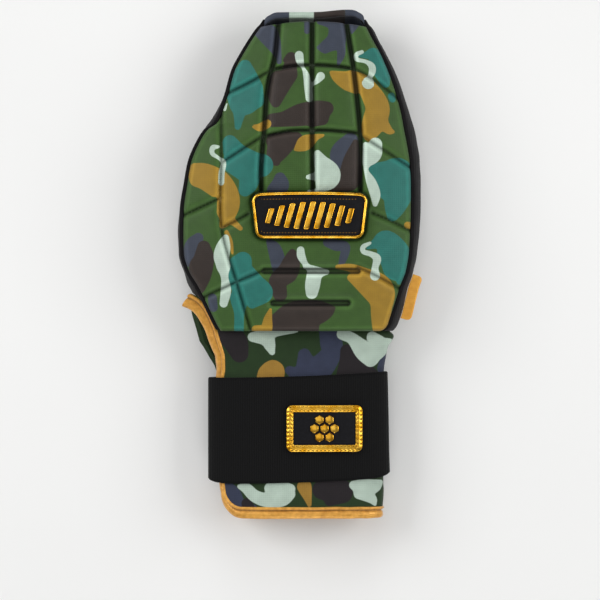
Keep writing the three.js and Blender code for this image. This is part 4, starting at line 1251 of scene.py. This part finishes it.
MAKERS = {
    "printed_knit": (printed_fabric, "pad", 0.55),
    "printed_cuff_knit": (printed_fabric, "cuff", 0.66),
    "black_neoprene": (black_knit,),
    "woven_elastic": (strap_fabric,),
    "gold_tape_weave": (gold_fabric, "tape", 1.0),
    "gold_ribbon": (gold_fabric, "ribbon", 1.1),
    "gold_foil": (gold_foil, 0.2),
    "gold_foil_soft": (gold_foil, 0.3),
    "black_rubber_grain": (black_field,),
}


def material(name):
    """The material of that name, made on its first use."""
    maker, *values = MAKERS[name]
    return bpy.data.materials.get(name) or maker(name, bpy.context.scene.mitt_colours, *values)


# Settings of the pieces


def size_property(label, text, millimetres):
    return FloatProperty(name=label, description=text, default=millimetres * MM, unit="LENGTH", precision=5)


def colour_property(label, text, code):
    return FloatVectorProperty(
        name=label, description=text, default=linear(code), size=4, subtype="COLOR", min=0.0, max=1.0,
    )


class ColourSettings(bpy.types.PropertyGroup):
    """Colours of the print, the black pieces and the gold ones"""

    pad_green: colour_property("Pad green", "Ground of the print on the pads", "#375424")
    pad_slate: colour_property("Pad slate", "Slate lobes on the pads", "#393f4c")
    pad_brown: colour_property("Pad brown", "Brown lobes on the pads", "#312925")
    pad_ochre: colour_property("Pad ochre", "Ochre lobes on the pads", "#957526")
    pad_teal: colour_property("Pad teal", "Teal lobes on the pads", "#256b62")
    pad_pale: colour_property("Pad pale", "Pale lobes on the pads", "#b0c2b4")
    cuff_green: colour_property("Cuff green", "Ground of the print on the cuff", "#1c3114")
    cuff_slate: colour_property("Cuff slate", "Slate lobes on the cuff", "#2d3347")
    cuff_brown: colour_property("Cuff brown", "Brown lobes on the cuff", "#1b1619")
    cuff_ochre: colour_property("Cuff ochre", "Ochre lobes on the cuff", "#93702c")
    cuff_teal: colour_property("Cuff teal", "Teal lobes on the cuff", "#235850")
    cuff_pale: colour_property("Cuff pale", "Pale lobes on the cuff", "#aabbae")
    knit: colour_property("Knit", "Black knit of the side walls", "#100e10")
    knit_worn: colour_property("Knit, lighter", "Its lighter spots", "#171517")
    strap: colour_property("Strap", "Black elastic between its ribs", "#090909")
    strap_rib: colour_property("Strap ribs", "The elastic's ribs", "#141415")
    selvedge: colour_property("Selvedge", "The elastic's edges", "#070708")
    tape: colour_property("Tape", "Gold tape on the cuff's edge", "#e9ac4a")
    tape_shade: colour_property("Tape, darker", "Its darker spots", "#c78b31")
    ribbon: colour_property("Ribbon", "Gold ribbon of the side tag", "#f6b545")
    ribbon_shade: colour_property("Ribbon, darker", "Its darker spots", "#e8a136")
    foil: colour_property("Foil", "Gold foil of frames, bars and studs", "#f3c04a")
    foil_shade: colour_property("Foil, darker", "Its darker spots", "#d99a1e")
    rubber: colour_property("Rubber", "Black rubber of both plates", "#09090c")
    rubber_grain: colour_property("Rubber grain", "The lighter parts of its grain", "#121217")
    thread: colour_property("Thread", "Stitches on the badge's field", "#7d5a20")


class PadSettings(bpy.types.PropertyGroup):
    """Relief pressed into the back pad"""

    channel_width: size_property("Channel width", "Half width of a main channel", 1.5)
    channel_depth: size_property("Channel depth", "Depth of a main channel below its shoulders", 3.0)
    side_channel_width: size_property("Side channel width", "Half width of a side channel", 0.95)
    side_channel_depth: size_property("Side channel depth", "Depth of a side channel", 1.7)
    shoulder_width: size_property("Shoulder width", "Reach of the soft shoulders of a channel", 3.5)
    shoulder_depth: size_property("Shoulder depth", "Fall of the shoulders towards a channel", 1.45)
    slot_depth: size_property("Slot depth", "Depth of the two slots over the wrist", 2.6)
    seat_depth: size_property("Seat depth", "Depth of the pocket that the badge sits in", 1.9)
    crease_depth: size_property("Crease depth", "Fine creases across the knit between the slots", 0.09)
    rim_radius: size_property("Rim radius", "Rounding of the pad's upper edge", 2.8)


class CuffSettings(bpy.types.PropertyGroup):
    """Softness of the cuff"""

    fold_depth: size_property("Fold depth", "Height of the soft folds over the wrist", 0.8)


class TapeSettings(bpy.types.PropertyGroup):
    """Section of the gold tape"""

    ridge_width: size_property("Ridge width", "Width of the ridge along the cuff's edge", 2.3)
    ridge_height: size_property("Ridge height", "Height of the ridge over the cuff's face", 0.75)
    slit_share: FloatProperty(
        name="Slit share", description="Breadth of the band along the slit, a share of the hem's",
        default=1.35,
    )


class PlateSettings(bpy.types.PropertyGroup):
    """Relief of the badge and the patch"""

    bar_count: IntProperty(name="Bars", description="Leaning bars on the badge", default=9)
    bar_rise: size_property("Bar rise", "Height of a bar over the badge's field", 1.4)
    stud_radius: size_property("Stud radius", "From a stud's middle to its corner", 2.7)
    stud_pitch: size_property("Stud pitch", "Between the middles of neighbouring studs", 5.7)
    stud_rise: size_property("Stud rise", "Height of a stud over the patch's field", 1.2)
    stitches: IntProperty(name="Stitches", description="Stitches round the patch's frame", default=52)


class StageSettings(bpy.types.PropertyGroup):
    """Camera, lights and floor"""

    distance: FloatProperty(
        name="Distance", description="Camera above the mitt", default=1.75, unit="LENGTH",
    )
    frame_width: FloatProperty(
        name="Frame width", description="Width of the view at the mitt", default=0.339, unit="LENGTH",
    )
    aim: FloatVectorProperty(
        name="Aim", description="Place under the camera", default=(-0.00016, -0.0193, 0.03), unit="LENGTH",
    )
    key_power: FloatProperty(
        name="Key light", description="Power of the main softbox", default=12.0, unit="POWER",
    )
    surround: FloatProperty(
        name="Surround", description="Strength of the white light from all round", default=0.24,
    )


# Operators


class MITT_OT_back_pad(bpy.types.Operator):
    """Builds the crowned back pad with its channels, slots and badge seat"""

    bl_idname = "mitt.back_pad"
    bl_label = "Back pad"
    bl_options = {"REGISTER", "UNDO"}

    def execute(self, context):
        pads = context.scene.mitt_pads
        piece = closed_sheet(
            "mitt_back_pad", 190, 250,
            lambda a, b: back_place(a, b, pads, False), lambda a, b: back_place(a, b, pads, True), 60.0,
        )
        x, y, _ = from_frame(piece.data)
        _, dark, lip = back_relief(x, y, pads)
        # Painted shade down in the channels, slots and round the badge's seat, and painted highlight on the
        # rims beside them and along the border
        store(piece.data, "painted_recess_shade", dark)
        store(piece.data, "lip", lip)
        paint(piece.data, x, y, PAD_CHARTS)
        finish(piece, material("printed_knit"), "printed_shell", "back_shell")
        return {"FINISHED"}


class MITT_OT_palm_pad(bpy.types.Operator):
    """Builds the flat palm pad and its curl round the fingertips"""

    bl_idname = "mitt.palm_pad"
    bl_label = "Palm pad"
    bl_options = {"REGISTER", "UNDO"}

    def execute(self, context):
        piece = closed_sheet(
            "mitt_palm_pad", 110, 190,
            lambda a, b: palm_place(a, b, False), lambda a, b: palm_place(a, b, True), 60.0,
        )
        run = palm_station(stored(piece.data, "along"))[0]
        x, _, _ = from_frame(piece.data)
        tip = smooth(run, 165, 185)
        for shade in PRINT_ORDER:
            over = print_distance(x, run, shade, ("tip",))
            under = print_distance(-x - 6, 186 - run, shade, PAD_CHARTS)
            store(piece.data, shade, lerp(under, over, tip))
        # Neither painted shade nor painted highlight on this piece
        for mark in ("painted_recess_shade", "lip"):
            store(piece.data, mark, np.zeros(len(x)))
        finish(piece, material("printed_knit"), "printed_shell", "palm_shell")
        return {"FINISHED"}


class MITT_OT_side_walls(bpy.types.Operator):
    """Builds the two black walls between the pads"""

    bl_idname = "mitt.side_walls"
    bl_label = "Side walls"
    bl_options = {"REGISTER", "UNDO"}

    def execute(self, context):
        for side, length in (("thumb", 0.19), ("finger", 0.2)):
            piece = closed_sheet(
                "mitt_" + side + "_wall", 24, 220,
                lambda a, b: wall_place(side, a, b, GUSSET_WALL), lambda a, b: wall_place(side, a, b, 0.0),
            )
            finish(piece, material("black_neoprene"), "gusset_neoprene", side + "_gusset")
        return {"FINISHED"}


class MITT_OT_cuff(bpy.types.Operator):
    """Builds the printed cuff with its soft folds"""

    bl_idname = "mitt.cuff"
    bl_label = "Cuff"
    bl_options = {"REGISTER", "UNDO"}

    def execute(self, context):
        cuff = context.scene.mitt_cuff
        piece = closed_sheet(
            "mitt_cuff", 210, 130,
            lambda a, b: cuff_place(a, b, 0.0, cuff), lambda a, b: cuff_place(a, b, CUFF_WALL, cuff),
        )
        x, y, z = from_frame(piece.data)
        unrolled = np.where(z < CUFF_MIDDLE, 2 * CUFF_HALF_WIDTH - x - 8, x)
        paint(piece.data, unrolled, y, CUFF_CHARTS)
        # Neither painted shade nor painted highlight on this piece
        for mark in ("painted_recess_shade", "lip"):
            store(piece.data, mark, np.zeros(len(x)))
        finish(piece, material("printed_cuff_knit"), "printed_cuff", "cuff")
        return {"FINISHED"}


class MITT_OT_edge_tape(bpy.types.Operator):
    """Builds the gold tape round the cuff's free edge and hem"""

    bl_idname = "mitt.edge_tape"
    bl_label = "Edge tape"
    bl_options = {"REGISTER", "UNDO"}

    def execute(self, context):
        tape = context.scene.mitt_tape
        path = tape_path()
        middle = path[0]
        piece = closed_sheet(
            "mitt_edge_tape", 34, len(middle) - 1,
            lambda a, b: tape_place(a, b, 1.0, path, tape),
            lambda a, b: tape_place(a, b, -1.0, path, tape), 60.0,
        )
        mesh = piece.data
        length = np.concatenate(([0], np.cumsum(np.linalg.norm(np.diff(middle, axis=0), axis=1))))
        run = np.interp(stored(mesh, "along"), np.linspace(0, 1, len(length)), length)
        beat = 0.5 + 0.5 * np.cos(2 * math.pi * run / TAPE_STITCH)
        # Painted shade along the crease between the ridge and the band, a little deeper at each stitch
        seam = bell(tape_reach(stored(mesh, "across")) - 1.15, 0.42)
        store(mesh, "crease", seam * (0.75 + 0.25 * beat))
        finish(piece, material("gold_tape_weave"), "gold_tape", "edge_binding")
        return {"FINISHED"}


class MITT_OT_strap(bpy.types.Operator):
    """Builds the broad elastic strap, wound once round the cuff and lapped"""

    bl_idname = "mitt.strap"
    bl_label = "Strap"
    bl_options = {"REGISTER", "UNDO"}

    def execute(self, context):
        piece = closed_sheet(
            "mitt_strap", 70, 220,
            lambda a, b: strap_place(a, b, False), lambda a, b: strap_place(a, b, True),
        )
        across = stored(piece.data, "across")
        store(piece.data, "edge", np.minimum(across, 1 - across) * STRAP_WIDTH)
        finish(piece, material("woven_elastic"), "strap_elastic", "strap")
        return {"FINISHED"}


class MITT_OT_badge(bpy.types.Operator):
    """Builds the badge: its field, glossy frame and row of leaning bars"""

    bl_idname = "mitt.badge"
    bl_label = "Badge"
    bl_options = {"REGISTER", "UNDO"}

    def execute(self, context):
        plates = context.scene.mitt_plates
        field = plate_piece("mitt_badge_field", BADGE, -1.9, BADGE_TOP, 0.8)
        x, y, _ = from_frame(field.data)
        row = bell(plate_distance(BADGE, x, y) + 3.3, 0.28)
        row = row * (np.abs(y - BADGE["y"]) > 7) * (np.abs(x - BADGE["x"]) < 0.41 * BADGE["width"])
        store(field.data, "stitch", row * (0.5 + 0.5 * np.cos(2 * math.pi * x / BADGE_STITCH)))
        finish(field, material("black_rubber_grain"), "black_rubber", "badge_plate")
        rim = frame_piece("mitt_badge_frame", BADGE, BADGE_TOP, 1.8, 1.4)
        finish(rim, material("gold_foil"), "gold_rubber", "badge_frame")
        pitch = BAR_ROW * BADGE["width"] / plates.bar_count
        half = BAR_LENGTH * BADGE["height"] / 2
        master = bar_master(BAR_WIDTH * pitch, 2 * half, plates.bar_rise / MM)
        for k in range(plates.bar_count):
            step = k - (plates.bar_count - 1) / 2
            cut = BAR_CUT * (2 * step / (plates.bar_count - 1)) ** 2 * half
            bar = copy_piece(master, "mitt_badge_bar_%d" % (k + 1))
            points = read_points(bar.data) / MM
            straight = half - BAR_END
            v = np.where(
                np.abs(points[:, 1]) > straight, points[:, 1] - np.sign(points[:, 1]) * cut,
                points[:, 1] * (straight - cut) / straight,
            )
            u = points[:, 0] + step * pitch + BAR_LEAN * v
            write_points(bar.data, to_frame(*on_plate(BADGE, u, v, BADGE_TOP + points[:, 2])))
            finish(bar, material("gold_foil"), "gold_rubber", "badge_bar_%d" % (k + 1))
        remove(master)
        return {"FINISHED"}


class MITT_OT_patch(bpy.types.Operator):
    """Builds the patch on the strap: its field, stitched frame and six-sided studs"""

    bl_idname = "mitt.patch"
    bl_label = "Patch"
    bl_options = {"REGISTER", "UNDO"}

    def execute(self, context):
        plates = context.scene.mitt_plates
        field = plate_piece("mitt_patch_field", PATCH, 0.25, PATCH_TOP, 0.6)
        finish(field, material("black_rubber_grain"), "black_rubber", "patch_plate")
        rim = frame_piece("mitt_patch_frame", PATCH, PATCH_TOP, 4.0, 1.2, (plates.stitches, 0.55, 1.15))
        finish(rim, material("gold_foil_soft"), "gold_rubber", "patch_frame")
        master = stud_master(plates.stud_radius, plates.stud_rise)
        for k in range(7):
            turn = k * math.pi / 3
            reach = 0.0 if k == 0 else plates.stud_pitch / MM
            stud = copy_piece(master, "mitt_patch_stud_%d" % (k + 1))
            points = read_points(stud.data) / MM
            u, v = points[:, 0] + reach * math.cos(turn), points[:, 1] + reach * math.sin(turn)
            write_points(stud.data, to_frame(*on_plate(PATCH, u, v, PATCH_TOP + points[:, 2])))
            finish(stud, material("gold_foil"), "gold_rubber", "patch_stud_%d" % (k + 1))
        remove(master)
        return {"FINISHED"}


class MITT_OT_tag(bpy.types.Operator):
    """Builds the folded ribbon in the little-finger side's seam"""

    bl_idname = "mitt.tag"
    bl_label = "Side tag"
    bl_options = {"REGISTER", "UNDO"}

    def execute(self, context):
        piece = closed_sheet(
            "mitt_side_tag", 24, 60,
            lambda a, b: tag_place(a, b, 1.0), lambda a, b: tag_place(a, b, -1.0), 60.0,
        )
        # A narrow darker band near the ribbon's root in the seam
        store(piece.data, "crease", 0.35 * bell(stored(piece.data, "across") - 0.06, 0.05))
        finish(piece, material("gold_ribbon"), "tag_ribbon", "side_tag")
        return {"FINISHED"}


def bar_master(width, length, rise):
    """A bevelled bar lying along Y, whose base is a little under the field's face."""
    only(None)
    bpy.ops.mesh.primitive_cube_add(size=1)
    master = bpy.context.object
    master.name = master.data.name = "bar_master"
    bpy.ops.object.mode_set(mode="EDIT")
    bpy.ops.mesh.select_all(action="SELECT")
    bpy.ops.transform.resize(value=(width * MM, length * MM, (rise + MASTER_SUNK) * MM))
    bpy.ops.transform.translate(value=(0, 0, (rise - MASTER_SUNK) / 2 * MM))
    bpy.ops.object.mode_set(mode="OBJECT")
    bevel(master, 0.55)
    return master


def stud_master(radius, rise):
    """A bevelled six-sided stud, whose base is a little under the field's face."""
    only(None)
    depth = rise + MASTER_SUNK * MM
    bpy.ops.mesh.primitive_cylinder_add(vertices=6, radius=radius, depth=depth, location=(0, 0, 0))
    master = bpy.context.object
    master.name = master.data.name = "stud_master"
    bpy.ops.object.mode_set(mode="EDIT")
    bpy.ops.mesh.select_all(action="SELECT")
    bpy.ops.transform.translate(value=(0, 0, (rise - MASTER_SUNK * MM) / 2))
    bpy.ops.object.mode_set(mode="OBJECT")
    bevel(master, 0.5)
    return master


def bevel(piece, width):
    """Rounds the edges of a piece to a width in millimetres."""
    only(piece)
    bpy.ops.object.modifier_add(type="BEVEL")
    made = piece.modifiers[-1]
    made.width = width * MM
    made.segments = 4
    bpy.ops.object.modifier_apply(modifier=made.name)
    bpy.ops.object.shade_smooth_by_angle(angle=math.radians(50))


def copy_piece(master, name):
    only(master)
    bpy.ops.object.duplicate(linked=False)
    piece = bpy.context.object
    piece.name = piece.data.name = name
    return piece


def remove(piece):
    only(piece)
    bpy.ops.object.delete()


# Softboxes: name, place, side and share of the key light's power
SOFTBOXES = (
    ("key_softbox", (-1.15, 0.45, 0.95), 0.9, 1.0),
    ("fill_softbox", (1.2, 0.2, 0.9), 0.9, 0.8),
    ("foot_softbox", (0.1, -1.35, 0.85), 0.9, 0.62),
    ("head_softbox", (0.0, 1.4, 0.9), 0.8, 0.38),
    ("top_softbox", (0.0, 0.15, 2.4), 1.2, 0.3),
)
SENSOR = 36.0
FLOOR_SIDE = 6.0


class MITT_OT_stage(bpy.types.Operator):
    """Sets the floor, the soft lights and the camera over the mitt"""

    bl_idname = "mitt.stage"
    bl_label = "Stage"
    bl_options = {"REGISTER", "UNDO"}

    def execute(self, context):
        scene = context.scene
        stage = scene.mitt_stage
        only(None)
        bpy.ops.mesh.primitive_plane_add(size=FLOOR_SIDE)
        floor = bpy.context.object
        floor.name = "floor"
        floor.data.materials.append(white_paper("white_paper"))
        aim = Vector(stage.aim)
        for name, place, side, share in SOFTBOXES:
            only(None)
            bpy.ops.object.light_add(type="AREA", location=place)
            light = bpy.context.object
            light.name = light.data.name = name
            light.data.size = side
            light.data.energy = stage.key_power * share
            light.rotation_euler = (aim - Vector(place)).to_track_quat("-Z", "Y").to_euler()
        scene.world = scene.world or bpy.data.worlds.new("World")
        scene.world.use_nodes = True
        surround = scene.world.node_tree.nodes["Background"].inputs
        surround["Color"].default_value = (1, 1, 1, 1)
        surround["Strength"].default_value = stage.surround
        only(None)
        bpy.ops.object.camera_add(location=(aim.x, aim.y, aim.z + stage.distance), rotation=(0, 0, 0))
        camera = bpy.context.object
        camera.name = "camera"
        camera.data.sensor_width = SENSOR
        camera.data.lens = SENSOR * stage.distance / stage.frame_width
        camera.data.clip_end = 20
        scene.camera = camera
        scene.view_settings.view_transform = "Standard"
        return {"FINISHED"}


class MITT_PT_panel(bpy.types.Panel):
    """Lists the pieces of the mitt"""

    bl_idname = "MITT_PT_panel"
    bl_label = "Sliding mitt"
    bl_space_type = "VIEW_3D"
    bl_region_type = "UI"
    bl_category = "Mitt"

    def draw(self, context):
        for operator in OPERATORS:
            self.layout.operator(operator.bl_idname)


SETTINGS = {
    "mitt_colours": ColourSettings, "mitt_pads": PadSettings, "mitt_cuff": CuffSettings,
    "mitt_tape": TapeSettings, "mitt_plates": PlateSettings, "mitt_stage": StageSettings,
}
OPERATORS = (
    MITT_OT_back_pad, MITT_OT_palm_pad, MITT_OT_side_walls, MITT_OT_cuff, MITT_OT_edge_tape,
    MITT_OT_strap, MITT_OT_badge, MITT_OT_patch, MITT_OT_tag, MITT_OT_stage,
)


def register():
    for name, group in SETTINGS.items():
        bpy.utils.register_class(group)
        setattr(bpy.types.Scene, name, PointerProperty(type=group))
    for operator in OPERATORS:
        bpy.utils.register_class(operator)
    bpy.utils.register_class(MITT_PT_panel)


def unregister():
    bpy.utils.unregister_class(MITT_PT_panel)
    for operator in reversed(OPERATORS):
        bpy.utils.unregister_class(operator)
    for name, group in SETTINGS.items():
        delattr(bpy.types.Scene, name)
        bpy.utils.unregister_class(group)


def main():
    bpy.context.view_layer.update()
    register()
    bpy.ops.mitt.back_pad()
    bpy.ops.mitt.palm_pad()
    bpy.ops.mitt.side_walls()
    bpy.ops.mitt.cuff()
    bpy.ops.mitt.edge_tape()
    bpy.ops.mitt.strap()
    bpy.ops.mitt.badge()
    bpy.ops.mitt.patch()
    bpy.ops.mitt.tag()
    bpy.ops.mitt.stage()


if __name__ == "__main__":
    main()
